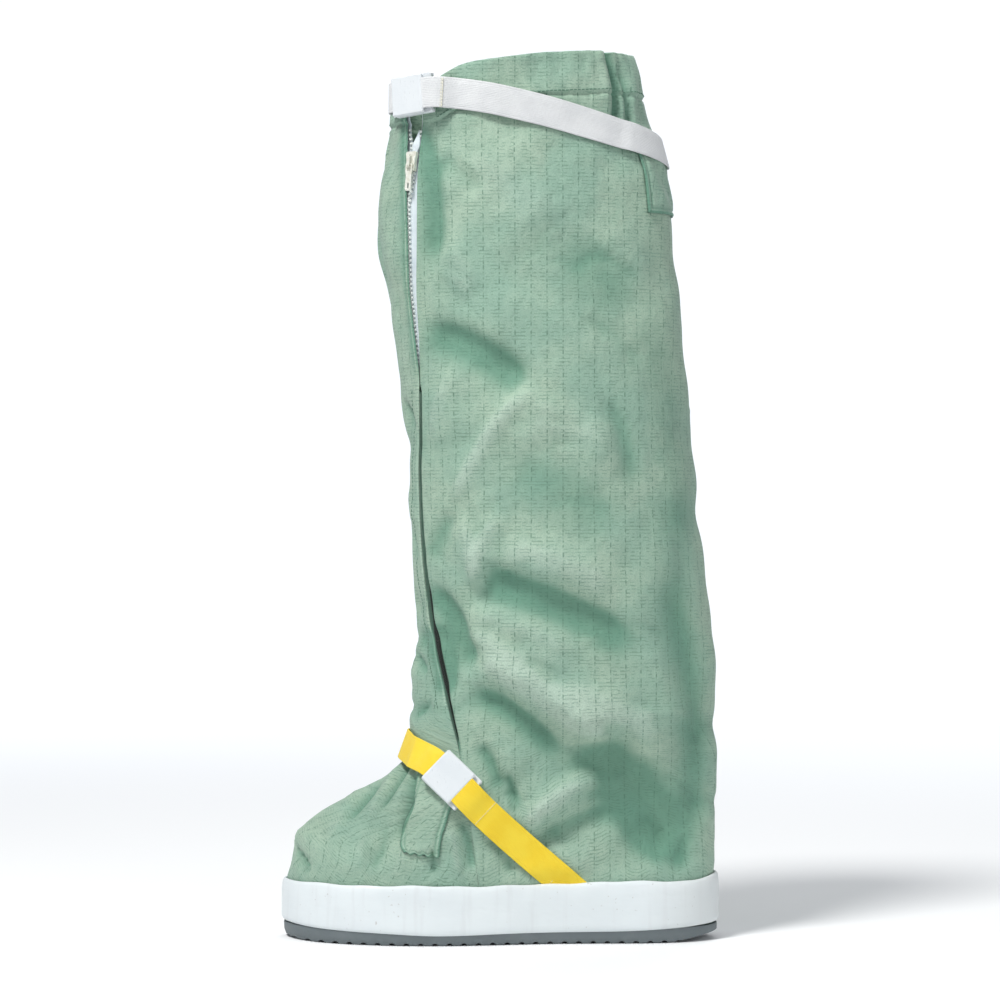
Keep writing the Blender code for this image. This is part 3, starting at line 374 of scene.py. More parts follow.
def front_of(z):
    """x of the front at heights. The bend at the ankle is a soft one."""
    low, high, step = ANKLE_HEIGHT - ANKLE_SOFTNESS, ANKLE_HEIGHT + ANKLE_SOFTNESS, 0.001
    start, end = sharp_front(low), sharp_front(high)
    leave = (start - sharp_front(low - step)) / step
    arrive = (sharp_front(high + step) - end) / step
    t = np.clip((z - low) / (high - low), 0, 1)
    bend = (
        start * (1 + 2 * t) * (1 - t) ** 2
        + end * t * t * (3 - 2 * t)
        + (high - low) * leave * t * (1 - t) ** 2
        - (high - low) * arrive * t * t * (1 - t)
    )
    return np.where((z > low) & (z < high), bend, sharp_front(z))


def back_of(z):
    """x of the back at heights."""
    low = HALF_SOLE - UPPER_INSET
    foot = low + (HEEL_LINE - low) * smooth((z - FOXING_HEIGHT) / (0.5 * INSTEP_RISE))
    shaft = HEEL_LINE - through(SHAFT_SECTIONS, 2, (z - ANKLE_HEIGHT) / SHAFT_HEIGHT) * SHAFT_DEPTH
    return np.where(z <= ANKLE_HEIGHT, foot, shaft)


print("shaft from front to back in mm:", round(1000 * float(back_of(0.35) - front_of(0.35)), 1))

# %% Sections of the boot


def foot_sides():
    """x, outer y and inner y of the upper inside the white band."""
    ring = sole_ring(UPPER_INSET, 480)
    tip, back = ring[:, 0].argmin(), ring[:, 0].argmax()
    ring = np.roll(ring, -back, axis=0)
    tip = (tip - back) % len(ring)
    outer, inner = ring[: tip + 1][::-1], np.vstack([ring[tip:], ring[:1]])
    x = np.linspace(outer[0, 0], outer[-1, 0], 361)
    return x, np.interp(x, outer[:, 0], outer[:, 1]), np.interp(x, inner[:, 0], inner[:, 1])


FOOT_X, FOOT_OUTER, FOOT_INNER = foot_sides()
TOP_HEIGHTS = np.linspace(FOXING_HEIGHT, ANKLE_HEIGHT + 0.10 * SHAFT_HEIGHT, 160)
TOP_FRONTS = np.maximum.accumulate(front_of(TOP_HEIGHTS)) + np.arange(len(TOP_HEIGHTS)) * 1e-9
ARCH_POWER = 2.3
BLEND_LOW = FOXING_HEIGHT + 0.06 * INSTEP_RISE
BLEND_HIGH = ANKLE_HEIGHT + 0.085 * SHAFT_HEIGHT


def section(z, count=240):
    """Points round the boot at a height, from the front by the outer side."""
    turn = np.linspace(0, 2 * math.pi, 2 * count + 1)
    share = (1 - np.cos(turn)) / 2
    side = np.where(turn <= math.pi, -1.0, 1.0)
    front, back = float(front_of(z)), float(back_of(z))
    x = front + share * (back - front)
    stretched = np.where(x > 0, x * FOOT_X[-1] / back, x)
    outer = np.interp(stretched, FOOT_X, FOOT_OUTER)
    inner = np.interp(stretched, FOOT_X, FOOT_INNER)
    top = np.interp(x, TOP_FRONTS, TOP_HEIGHTS, right=10.0)
    up = np.clip((z - FOXING_HEIGHT) / np.maximum(top - FOXING_HEIGHT, 1e-6), 0, 1)
    arch = np.sqrt(1 - up**ARCH_POWER) if z > FOXING_HEIGHT else 1.0
    width = float(through(SHAFT_SECTIONS, 3, (z - ANKLE_HEIGHT) / SHAFT_HEIGHT)) * SHAFT_WIDTH
    shaft_half = width / 2 * np.sqrt(np.clip(1 - (2 * share - 1) ** 2, 0, 1))
    leg = smooth((z - BLEND_LOW) / (BLEND_HIGH - BLEND_LOW))
    half = (1 - leg) * (inner - outer) / 2 * arch + leg * shaft_half
    return np.column_stack([x, (1 - leg) * (outer + inner) / 2 + side * half, np.full_like(x, z)])


print("shaft's width in mm:", round(1000 * float(np.ptp(section(0.35)[:, 1])), 1))

# %% A fine chart of the skin
LEVEL_STEP = 0.002
LEVELS = np.arange(0.004, BOOT_HEIGHT + 0.012, LEVEL_STEP)
SHARES = np.linspace(0, 1, 721)


def chart_skin():
    """Places, girths and the zip's line, level by level."""
    places, girths, zips = [], [], []
    for z in LEVELS:
        ring = section(z)
        travelled = np.concatenate([[0], np.cumsum(np.linalg.norm(np.diff(ring, axis=0), axis=1))])
        girths.append(travelled[-1])
        stops = SHARES * travelled[-1]
        places.append(np.column_stack([np.interp(stops, travelled, ring[:, k]) for k in range(3)]))
        x = through(ZIP_LINE, 1, z / BOOT_HEIGHT) * SOLE_LENGTH
        zips.append(np.interp(x, ring[:241, 0], travelled[:241]) / travelled[-1])
    return np.array(places), np.array(girths), np.array(zips)


PLACES, GIRTHS, ZIP_SHARES = chart_skin()


def chart_normals():
    """The way out of the skin at each place of the chart."""
    round_ring = np.concatenate([PLACES[:, -2:-1], PLACES, PLACES[:, 1:2]], axis=1)
    along = round_ring[:, 2:] - round_ring[:, :-2]
    steps = np.gradient(PLACES, axis=0)
    wall = LEVELS < FOXING_HEIGHT + 0.004
    steps[wall] = (0, 0, 1)
    normals = np.cross(along, steps)
    return normals / np.linalg.norm(normals, axis=2, keepdims=True)


NORMALS = chart_normals()


def read_chart(chart, share, z):
    """The chart's value at shares of the way round and at heights, between its points."""
    share, z = np.broadcast_arrays(np.asarray(share, float) % 1.0, np.asarray(z, float))
    column = share * (len(SHARES) - 1)
    row = np.clip((z - LEVELS[0]) / LEVEL_STEP, 0, len(LEVELS) - 1.001)
    i, j = np.floor(row).astype(int), np.minimum(np.floor(column).astype(int), len(SHARES) - 2)
    down, right = (row - i)[..., None], (column - j)[..., None]
    upper_row = chart[i + 1, j] * (1 - right) + chart[i + 1, j + 1] * right
    return (chart[i, j] * (1 - right) + chart[i, j + 1] * right) * (1 - down) + upper_row * down


def girth(z):
    """Length of the way round at heights."""
    return np.interp(z, LEVELS, GIRTHS)


def zip_share(z):
    """Share of the way round at which the zip runs."""
    return np.interp(z, LEVELS, ZIP_SHARES)


def slit_width(z):
    """Width of the open part of the zip's gap."""
    return through(ZIP_LINE, 2, z / BOOT_HEIGHT) * SLIT_WIDTH


def outer_share(x, z):
    """Share of the way round at which the outer side has this x."""
    half = len(SHARES) // 2 + 1
    x, z = np.broadcast_arrays(np.asarray(x, float), np.asarray(z, float))
    ring = read_chart(PLACES, SHARES[:half][None, :], z.reshape(-1, 1))[..., 0]
    found = [np.interp(a, row, SHARES[:half]) for a, row in zip(x.ravel(), ring)]
    return np.array(found).reshape(x.shape)


print("chart:", PLACES.shape[:2], "girth at mid shaft in mm:", round(1000 * float(girth(0.35))))

# %% [markdown]
# ## Folds, hem and placket
# The limp fabric hangs in broad soft folds, which are the boot's character. They could be
# simulated, but then they would fall elsewhere than on the real boot. So each main fold is
# one row of a table: a line on the side of the boot, its width and its depth. A trough is
# negative and a ridge positive. The same function adds the hem's casing with its gathers,
# the folded edge of the placket that covers the zip, and fine ripples.

# %% Table of folds
OUTER_FOLDS = [
    # from: along, up. to: along, up. half width and depth in mm
    (-0.165, 0.690, 0.060, 0.628, 12.0, -4.4),
    (-0.185, 0.925, -0.150, 0.760, 9.0, -3.4),
    (0.330, 0.720, 0.390, 0.330, 13.0, -1.3),
    (0.060, 0.800, 0.300, 0.720, 22.0, -2.0),
    (-0.100, 0.880, 0.180, 0.780, 20.0, 1.6),
    (0.020, 0.540, 0.260, 0.470, 20.0, -1.8),
    (0.060, 0.600, 0.250, 0.560, 18.0, 1.6),
    (-0.103, 0.497, 0.069, 0.627, 6.5, 2.8),
    (-0.061, 0.407, -0.009, 0.479, 6.0, 2.2),
    (-0.160, 0.430, -0.105, 0.480, 8.0, -2.2),
    (-0.150, 0.560, -0.110, 0.640, 7.0, 1.8),
    (-0.134, 0.880, -0.050, 0.840, 7.0, -2.0),
    (-0.110, 0.780, -0.060, 0.730, 9.0, 1.5),
    (0.245, 0.610, 0.300, 0.515, 7.0, -2.0),
    (-0.060, 0.412, 0.300, 0.338, 13.0, -4.6),
    (0.000, 0.446, 0.250, 0.400, 13.0, 2.4),
    (-0.070, 0.372, 0.160, 0.330, 9.0, 2.2),
    (-0.155, 0.400, -0.055, 0.312, 8.0, -4.0),
    (-0.090, 0.478, -0.045, 0.395, 7.0, 2.5),
    (-0.080, 0.350, 0.080, 0.300, 7.0, 2.5),
    (-0.035, 0.320, 0.250, 0.222, 9.0, 4.5),
    (-0.060, 0.285, 0.135, 0.215, 8.0, -4.0),
    (0.050, 0.136, 0.215, 0.192, 7.0, 4.0),
    (0.080, 0.112, 0.250, 0.150, 6.0, -2.0),
    (0.015, 0.192, 0.038, 0.148, 3.5, -3.0),
    (-0.045, 0.225, 0.000, 0.174, 5.0, -3.0),
    (0.190, 0.235, 0.395, 0.112, 21.0, -5.2),
    (0.120, 0.290, 0.360, 0.230, 13.0, 2.6),
    (0.350, 0.090, 0.372, 0.130, 3.0, -1.5),
    (0.412, 0.085, 0.425, 0.120, 3.0, -1.5),
    (-0.150, 0.356, -0.115, 0.280, 8.0, -5.0),
    (-0.226, 0.610, -0.192, 0.575, 3.0, -2.4),
    (-0.222, 0.520, -0.190, 0.470, 3.6, 2.0),
    (-0.218, 0.470, -0.188, 0.430, 3.0, -2.6),
    (-0.214, 0.395, -0.186, 0.365, 2.8, -2.2),
    (-0.208, 0.330, -0.170, 0.300, 3.0, -2.6),
    (-0.200, 0.250, -0.160, 0.272, 2.0, -1.6),
    (-0.174, 0.385, -0.177, 0.330, 2.0, -1.2),
    (-0.218, 0.210, -0.268, 0.150, 2.6, -3.4),
    (-0.232, 0.205, -0.292, 0.140, 3.0, 2.2),
    (-0.196, 0.196, -0.226, 0.118, 2.8, -3.4),
    (-0.270, 0.190, -0.350, 0.136, 3.2, -2.6),
    (-0.320, 0.170, -0.390, 0.118, 3.6, 1.8),
    (-0.250, 0.135, -0.285, 0.085, 3.6, -2.0),
    (-0.300, 0.130, -0.330, 0.080, 4.0, 1.4),
    (-0.215, 0.110, -0.235, 0.075, 3.6, 1.8),
    (-0.152, 0.108, -0.150, 0.075, 1.0, -2.0),
    (0.400, 0.400, 0.425, 0.090, 12.0, -2.6),
    (0.300, 0.140, 0.420, 0.085, 9.0, -2.4),
    (-0.120, 0.140, -0.095, 0.080, 3.4, 2.0),
    (-0.090, 0.140, -0.060, 0.085, 3.0, -2.2),
    (-0.020, 0.120, 0.030, 0.080, 4.0, -2.0),
    (0.110, 0.110, 0.200, 0.085, 5.0, 1.6),
    (-0.480, 0.105, -0.430, 0.078, 3.0, -2.6),
    (-0.470, 0.120, -0.400, 0.105, 5.0, 1.2),
]
INNER_FOLDS = [
    (-0.200, 0.700, 0.020, 0.640, 10.0, -4.5),
    (-0.150, 0.560, 0.090, 0.620, 9.0, 3.0),
    (-0.160, 0.470, 0.110, 0.400, 10.0, -4.5),
    (0.060, 0.520, 0.300, 0.440, 9.0, -3.0),
    (-0.100, 0.380, 0.180, 0.330, 9.0, 3.0),
    (-0.180, 0.330, 0.060, 0.270, 8.0, -4.5),
    (0.050, 0.300, 0.360, 0.220, 10.0, -3.5),
    (-0.020, 0.240, 0.220, 0.180, 8.0, 3.5),
    (-0.150, 0.230, 0.040, 0.150, 6.0, -3.5),
    (0.220, 0.140, 0.400, 0.090, 9.0, -2.5),
    (-0.240, 0.190, -0.300, 0.120, 4.0, -2.0),
    (-0.300, 0.170, -0.370, 0.120, 4.0, -1.5),
    (-0.120, 0.150, -0.150, 0.090, 4.0, -1.8),
    (0.100, 0.820, 0.180, 0.740, 8.0, -2.5),
    (-0.120, 0.860, -0.020, 0.790, 9.0, 2.0),
]
WRAPS = [
    # Folds right across the front or the back: up, tilt, half width and depth in mm, front or back
    (0.262, 0.02, 4.0, -1.4, -1),
    (0.300, -0.02, 6.0, 0.6, -1),
    (0.340, 0.02, 6.0, -0.9, -1),
    (0.560, -0.03, 9.0, -1.2, -1),
    (0.240, 0.03, 9.0, -1.2, 1),
    (0.155, -0.02, 6.0, -1.2, 1),
    (0.480, 0.02, 12.0, -1.0, 1),
]
print("folds placed by hand:", len(OUTER_FOLDS) + len(INNER_FOLDS) + len(WRAPS))

# %% Small creases between the folds
CREASES_A_SIDE = 44
CREASE_ALONG, CREASE_UP = (-0.13, 0.34), (0.15, 0.81)
CREASE_SLANT = (-58, 38)
CREASE_LENGTH = (0.016, 0.046)
CREASE_WIDTH = (1.8, 4.4)
CREASE_HEIGHT = (0.3, 1.0)
LOWER_CROWD = 1.3


def within(span, share):
    """The value at a share of the way through a span."""
    return span[0] + (span[1] - span[0]) * share


def small_creases(seed):
    """Rows like those of the folds, for short slanting creases spread over the leg."""
    rows = []
    draws = np.random.default_rng(seed).uniform(size=(CREASES_A_SIDE, 6))
    for along, up, slant, length, width, depth in draws:
        x, z = within(CREASE_ALONG, along), within(CREASE_UP, up**LOWER_CROWD)
        angle, run = math.radians(within(CREASE_SLANT, slant)), within(CREASE_LENGTH, length)
        end = x + run * math.cos(angle) / SOLE_LENGTH, z + run * math.sin(angle) / BOOT_HEIGHT
        height = math.copysign(within(CREASE_HEIGHT, abs(2 * depth - 1)), depth - 0.5)
        rows.append((x, z, *end, within(CREASE_WIDTH, width), height))
    return rows


OUTER_FOLDS += small_creases(5)
INNER_FOLDS += small_creases(9)
print("with small creases:", len(OUTER_FOLDS) + len(INNER_FOLDS) + len(WRAPS))

# %% Straps' lines, which the fabric is pulled flat under
TOP_STRAP_LINE = [
    # share of the way from front to back, height
    (0.000, 0.946), (0.170, 0.950), (0.255, 0.952), (0.370, 0.947), (0.530, 0.934),
    (0.760, 0.910), (1.000, 0.887),
]
ANKLE_STRAP_LINE = [
    # along, rise
    (-0.1990, 0.925), (-0.1500, 0.845), (-0.1000, 0.710), (-0.0400, 0.520), (0.0500, 0.255),
    (0.1420, 0.000), (0.1800, -0.105),
]
ANKLE_STRAP_CREST = 0.0030


def ankle_line(x):
    """Height of the ankle strap's middle at this x."""
    along = np.clip(x / SOLE_LENGTH, ANKLE_STRAP_LINE[0][0], ANKLE_STRAP_LINE[-1][0])
    return FOXING_HEIGHT + through(ANKLE_STRAP_LINE, 1, along) * INSTEP_RISE


print("ankle strap's height at the front in mm:", round(1000 * float(ankle_line(-HALF_SOLE)), 1))

# %% Shape of a fold
FOLD_DEPTH = 1.75
UPPER_SIDE, LOWER_SIDE = 1.45, 0.80
FOLD_END = 0.30
FOLD_BOW = 0.06


def from_segment(x, z, fold):
    """Distance from a fold's line, which is steeper above, with soft ends past its length."""
    start = fold[0] * SOLE_LENGTH, fold[1] * BOOT_HEIGHT
    run = np.array([fold[2] * SOLE_LENGTH - start[0], fold[3] * BOOT_HEIGHT - start[1]])
    length = np.linalg.norm(run)
    run = run / length
    forward = (x - start[0]) * run[0] + (z - start[1]) * run[1]
    aside = -(x - start[0]) * run[1] + (z - start[1]) * run[0]
    soft = FOLD_END * length
    fade = smooth(forward / soft + 0.35) * smooth((length - forward) / soft + 0.35)
    aside = aside - FOLD_BOW * length * np.sin(math.pi * np.clip(forward / length, 0, 1))
    return aside * np.where(aside > 0, UPPER_SIDE, LOWER_SIDE), fade


def facing(normal, side):
    """1 where the skin faces the outer side (-1) or the inner side (1), fading towards the other."""
    return smooth((side * normal[..., 1] + 0.10) / 0.45)


def folds(place, normal):
    """How far the main folds stand out or sink in, in metres."""
    x, z = place[..., 0], place[..., 2]
    outer, inner = facing(normal, -1), facing(normal, 1)
    depth = np.zeros(x.shape)
    for table, side in ((OUTER_FOLDS, outer), (INNER_FOLDS, inner)):
        for fold in table:
            aside, fade = from_segment(x, z, fold)
            depth += side * fade * fold[5] * 0.001 * FOLD_DEPTH * hill(aside, fold[4] * 0.001)
    for up, tilt, width, deep, end in WRAPS:
        ahead = smooth((end * normal[..., 0] - 0.2) / 0.6)
        middle = up * BOOT_HEIGHT + tilt * place[..., 1]
        depth += ahead * deep * 0.001 * FOLD_DEPTH * hill(z - middle, width * 0.001)
    return depth


sample = read_chart(PLACES, 0.25, 0.205), read_chart(NORMALS, 0.25, 0.205)
print("a fold at mid side in mm:", round(1000 * float(folds(*sample)), 1))

# %% Ripples from a few slanting waves
RIPPLE_HEIGHT = 0.0062
RIPPLES = np.random.default_rng(7).uniform(size=(22, 4))


def ripples(u, v):
    """Small unevenness of limp cloth, in metres, at cloth coordinates."""
    total = np.zeros(u.shape)
    for slant, pitch, phase, weight in RIPPLES:
        angle = math.pi * (0.15 + 0.7 * slant)
        length = 0.018 + 0.05 * pitch
        wave = np.sin(2 * math.pi * ((u * math.sin(angle) + v * math.cos(angle)) / length + phase))
        swell = np.sin(2 * math.pi * (u * 7.0 * weight + v * 5.0 * pitch + weight))
        total += wave * swell * length * RIPPLE_HEIGHT
    return total


print("waves in the ripples:", len(RIPPLES))

# %% Sizes of the placket, its gap and the hem
PLACKET_LIFT = 0.0024
PLACKET_WIDTH = 0.0160
PLACKET_TOE = 0.205 * BOOT_HEIGHT
PLACKET_FULL = 0.262 * BOOT_HEIGHT
GROOVE_DEPTH = 0.0036
GROOVE_LINE = [
    # up, width of the gap below the open part in mm
    (0.205, 0.6), (0.260, 1.3), (0.300, 1.8), (0.360, 1.8), (0.430, 1.3), (0.560, 0.9), (0.625, 0.6),
]
HEM_STEP = 0.0008
STRAP_DENT = 0.0045
print("placket from the toe side up in mm:", round(1000 * PLACKET_TOE), "to", round(1000 * BOOT_HEIGHT))

# %% Collar's edge, and where the fabric is held flat
RIM_LINE = [
    # along, how much lower the collar's edge is than at the back, in mm
    (-0.240, 19.0), (-0.170, 19.0), (-0.143, 18.0), (-0.116, 14.1), (-0.089, 10.3), (-0.062, 8.3),
    (-0.009, 6.4), (0.045, 4.5), (0.098, 2.5), (0.179, 1.0), (0.240, 0.0),
]


def rim_dip(x):
    """How much lower the collar's edge is at this x."""
    return through(RIM_LINE, 1, x / SOLE_LENGTH) * 0.001


def calm(place, share):
    """1 in free fabric, less where a strap or a sewn edge holds it flat."""
    x, z = place[..., 0], place[..., 2]
    way = 1 - np.abs(1 - 2 * share)
    strap = through(TOP_STRAP_LINE, 1, way) * BOOT_HEIGHT
    free = 1 - 0.75 * hill(z - strap, 0.014)
    along = x / SOLE_LENGTH
    near = hill(z - ankle_line(x), 0.011) * smooth((along + 0.23) / 0.03) * smooth((0.17 - along) / 0.03)
    free *= 1 - 0.5 * near
    return free * smooth((z - FOXING_HEIGHT) / 0.012)


def gathers(share, z, top):
    """Pleats of the drawn-in hem, deepest at its casing."""
    down = (top - z) / BOOT_HEIGHT
    fade = smooth(1 - down / 0.13)
    round_place = share * 2 * math.pi
    waves = np.sin(34 * round_place + 1.3 * np.sin(5 * round_place)) + 0.6 * np.sin(57 * round_place + 2.0)
    quiet = smooth((share - 0.16) / 0.06) * smooth((1.02 - share) / 0.06)
    return 0.00045 * waves * fade * quiet


PLEATS = [
    # Deep pleats at the back of the collar. from: along, up. to: along, up. half width, depth
    (0.238, 1.010, 0.262, 0.915, 2.6, -6.0),
    (0.215, 1.000, 0.235, 0.940, 5.0, 2.2),
    (0.268, 0.985, 0.296, 0.905, 2.8, -4.0),
    (0.286, 1.000, 0.306, 0.940, 3.4, 1.6),
    (0.180, 0.995, 0.184, 0.972, 1.5, -1.4),
    (0.060, 0.985, 0.075, 0.960, 2.5, -1.0),
    (0.120, 0.990, 0.118, 0.960, 2.5, -0.9),
]


def pleats(place, normal):
    """The same for the pleats at the back of the collar."""
    depth = np.zeros(place.shape[:-1])
    outer = smooth((-normal[..., 1] + 0.10) / 0.45)
    for pleat in PLEATS:
        aside, fade = from_segment(place[..., 0], place[..., 2], pleat)
        depth += outer * fade * pleat[5] * 0.001 * hill(aside, pleat[4] * 0.001)
    return depth


def relief(share, z):
    """Everything that lifts or sinks the fabric from the plain skin, in metres."""
    place, normal = read_chart(PLACES, share, z), read_chart(NORMALS, share, z)
    along, up = share * girth(z), z
    top = BOOT_HEIGHT - rim_dip(place[..., 0])
    free = calm(place, share)
    height = free * (folds(place, normal) + ripples(along, up))
    height += gathers(share, z, top)
    height += pleats(place, normal)
    hem = top - HEM_HEIGHT
    height += HEM_STEP * smooth((z - hem) / 0.0016)
    height -= 0.0009 * hill(z - hem + 0.0008, 0.0011)
    height += 0.0006 * hill(top - 0.002 - z, 0.003)
    x = place[..., 0] / SOLE_LENGTH
    height -= STRAP_DENT * hill(z - ankle_line(place[..., 0]), 0.012) * smooth((-0.165 - x) / 0.035)
    behind = (share - zip_share(z)) * girth(z)
    held = 1 - 0.8 * hill(behind, 0.012) * smooth((z - PLACKET_TOE) / 0.03)
    return height * held


def placket(before_edge, z):
    """How far the front panel stands proud at a distance in front of its folded edge."""
    fade = smooth((z - PLACKET_TOE) / (PLACKET_FULL - PLACKET_TOE))
    rounded = 1 - 0.45 * hill(before_edge, 0.0005)
    lift = PLACKET_LIFT * (0.5 + 0.5 * smooth((z - SLIT_END) / 0.03))
    return lift * fade * smooth(1 - before_edge / PLACKET_WIDTH) * rounded


def groove(behind_edge, z):
    """Depth of the gap just behind the placket's edge, below the open part."""
    fade = smooth((z - PLACKET_TOE) / 0.02) * smooth((SLIT_END + 0.006 - z) / 0.012)
    width = through(GROOVE_LINE, 1, z / BOOT_HEIGHT) * 0.001
    return GROOVE_DEPTH * fade * hill(behind_edge - 0.4 * width, width)


test = relief(np.linspace(0, 1, 400)[None, :], np.linspace(0.05, 0.57, 300)[:, None])
print("relief from", round(1000 * test.min(), 1), "to", round(1000 * test.max(), 1), "mm")

# %% [markdown]
# ## The fabric upper
# Vamp and shaft are one fabric shell. It is a sheet of four-sided faces laid over the skin
# and thickened inwards, so that the inside is real too. The columns crowd on the outer side
# and at the zip, where the detail is, and lie further apart on the side that is seen less.

# %% Helpers that turn grids of points into objects


def new_object(name, mesh, look):
    mesh.materials.append(look)
    item = bpy.data.objects.new(name, mesh)
    bpy.context.scene.collection.objects.link(item)
    return item


def carry(mesh, name, values):
    """Stores one vector for each point of the mesh, for its material to read."""
    made = mesh.attributes.new(name, "FLOAT_VECTOR", "POINT")
    made.data.foreach_set("vector", np.asarray(values, dtype=np.float32).ravel())


def grid_object(name, grid, look, coordinate, wrap_rows=False, wrap_columns=False, caps=False, weld=None):
    """Four-sided faces through a grid of points. weld: points of the grid that are the same one."""
    rows, columns = grid.shape[:2]
    index = np.arange(rows * columns).reshape(rows, columns)
    if weld is not None:
        index = weld(index)
    if wrap_rows:
        index = np.vstack([index, index[:1]])
    if wrap_columns:
        index = np.hstack([index, index[:, :1]])
    faces = np.stack([index[:-1, :-1], index[:-1, 1:], index[1:, 1:], index[1:, :-1]], -1)
    faces = faces.reshape(-1, 4).tolist()
    if caps:
        faces += [list(range(columns))[::-1], list(range((rows - 1) * columns, rows * columns))]
    mesh = bpy.data.meshes.new(name)
    mesh.from_pydata(grid.reshape(-1, 3).tolist(), [], faces)
    carry(mesh, "cloth", coordinate.reshape(-1, 3))
    used = np.zeros(rows * columns, bool)
    used[[corner for face in faces for corner in face]] = True
    work = bmesh.new()
    work.from_mesh(mesh)
    work.verts.ensure_lookup_table()
    bmesh.ops.delete(work, geom=[work.verts[i] for i in np.nonzero(~used)[0]], context="VERTS")
    bmesh.ops.recalc_face_normals(work, faces=work.faces[:])
    work.to_mesh(mesh)
    work.free()
    mesh.shade_smooth()
    return new_object(name, mesh, look)


def modify(item, kind, **settings):
    made = item.modifiers.new(kind.lower(), kind)
    for key, value in settings.items():
        setattr(made, key, value)


def dress(item, slot_name, body, *nodes):
    """Says what the piece moves with and what it stands for. slot_name, the finish's name, is not used."""
    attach(item, body)
    if nodes:
        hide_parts(*nodes)
    print(item.name, "faces:", len(item.data.polygons))


# %% Sage fabric with its dark grid
GRID_PITCH = 0.0103
DASH_PITCH = 0.0024
DASH_LENGTH = 0.0034


def sage_fabric(name="sage fabric"):
    """Polyester with a grid of dark conductive thread that shows as dashes. Its colour also has painted
    shade in the folds, the placket's gap and the patches' edges, and painted highlight on the ridges.
    """
    mix = Recipe(name)
    cloth, u, v, deep = mix.coordinate("cloth")
    uneven = mix.noise(cloth, 90.0, 2.0)
    broken = mix.between(mix.noise(mix.stretched(cloth, (97.0, 330.0, 1.0)), 1.0, 1.0), 0.44, 0.58)
    broken = mix.math("ADD", 0.05, mix.math("MULTIPLY", broken, 0.8))
    upright = mix.math("MULTIPLY", mix.line(u, GRID_PITCH, 0.0012), broken)
    row = mix.math("FLOOR", mix.math("DIVIDE", v, DASH_PITCH))
    shifted = {0: mix.math("DIVIDE", u, DASH_LENGTH), 1: mix.math("MULTIPLY", row, 7.31)}
    along_row = mix.add("CombineXYZ", shifted)
    dash = mix.between(mix.noise(along_row.outputs[0], 1.0, 0.0), 0.50, 0.60)
    dash = mix.math("MULTIPLY", dash, mix.line(v, DASH_PITCH, 0.0013))
    thread = mix.math("MAXIMUM", upright, mix.math("MULTIPLY", dash, 0.55), clamp=True)
    warp = mix.line(u, 0.0007, 0.0005)
    weft = mix.line(v, 0.0006, 0.0004)
    tone = mix.blend(mix.between(uneven, 0.35, 0.65), (0.338, 0.478, 0.366), (0.390, 0.525, 0.408))
    cool = mix.between(mix.noise(cloth, 16.0, 3.0), 0.36, 0.66, 0.0, 0.6)
    tone = mix.blend(cool, tone, (0.235, 0.412, 0.325))
    # Painted shade: the depth that the cloth coordinate carries as its third value darkens the troughs of
    # the folds and pleats, the placket's groove and the patches' edges.
    painted_shading = mix.between(deep, 0.0005, -0.0060, 0.0, 0.78)
    tone = mix.blend(painted_shading, tone, (0.068, 0.238, 0.158))
    # Painted highlight: the same depth lightens the ridges of the folds and the placket's folded edge.
    painted_ridge_highlight = mix.between(deep, 0.0008, 0.0060, 0.0, 0.62)
    tone = mix.blend(painted_ridge_highlight, tone, (0.520, 0.640, 0.545))
    yarn = mix.noise(mix.stretched(cloth, (1300.0, 900.0, 1.0)), 1.0, 2.0)
    speck = mix.between(yarn, 0.35, 0.65, 0.0, 0.30)
    tone = mix.blend(speck, tone, (0.160, 0.290, 0.215))
    tone = mix.blend(mix.math("MULTIPLY", thread, 0.76), tone, (0.070, 0.175, 0.118))
    # Painted shadow: near black where the depth marks the placket's gap.
    gap = mix.between(deep, -0.0090, -0.0125)
    tone = mix.blend(gap, tone, (0.003, 0.016, 0.009))
    crumple = mix.noise(mix.stretched(cloth, (60.0, 45.0, 1.0)), 1.0, 4.0, 0.6)
    height = mix.math("ADD", mix.math("MULTIPLY", crumple, 1.0), mix.math("MULTIPLY", warp, 0.02))
    height = mix.math("ADD", height, mix.math("MULTIPLY", weft, 0.02))
    height = mix.math("ADD", height, mix.math("MULTIPLY", thread, 0.04))
    roughness = mix.between(uneven, 0.3, 0.7, 0.52, 0.66)
    return mix.finish(tone, roughness, height, 0.0030, sheen=0.12)


SAGE = sage_fabric()

# %% Build the upper
SIDE_COLUMNS = 214
LIP = np.array([16.0, 12.0, 8.0, 5.0, 3.2, 2.0, 1.2, 0.6, 0.25, 0.0]) * 0.001
BACK_LIP = np.array([0.0, 0.35, 0.7, 1.1, 1.6, 2.2, 3.0, 4.0, 5.5]) * 0.001
COVER = 0.0016


def upper_columns(z):
    """Distances from the zip's line for each column, round the back to the placket's edge."""
    around = float(girth(z))
    slit = max(float(slit_width(z)) - COVER * float(smooth((z - SLIT_END) / 0.02)), 0.0)
    last = around - slit
    start, stop = BACK_LIP[-1] + 0.0015, last - LIP[0] - 0.0015
    shares = np.linspace(float(zip_share(z)), float(zip_share(z)) + 1, 400)
    spacing = 1.0 - 0.42 * np.cos(2 * math.pi * (shares - 0.75)) - 0.175 * np.cos(4 * math.pi * shares)
    travelled = np.concatenate([[0], np.cumsum(1 / spacing)[:-1]])
    even = np.interp(np.linspace(0, travelled[-1], SIDE_COLUMNS), travelled, np.linspace(0, 1, 400))
    return np.concatenate([BACK_LIP, start + even * (stop - start), last - LIP])


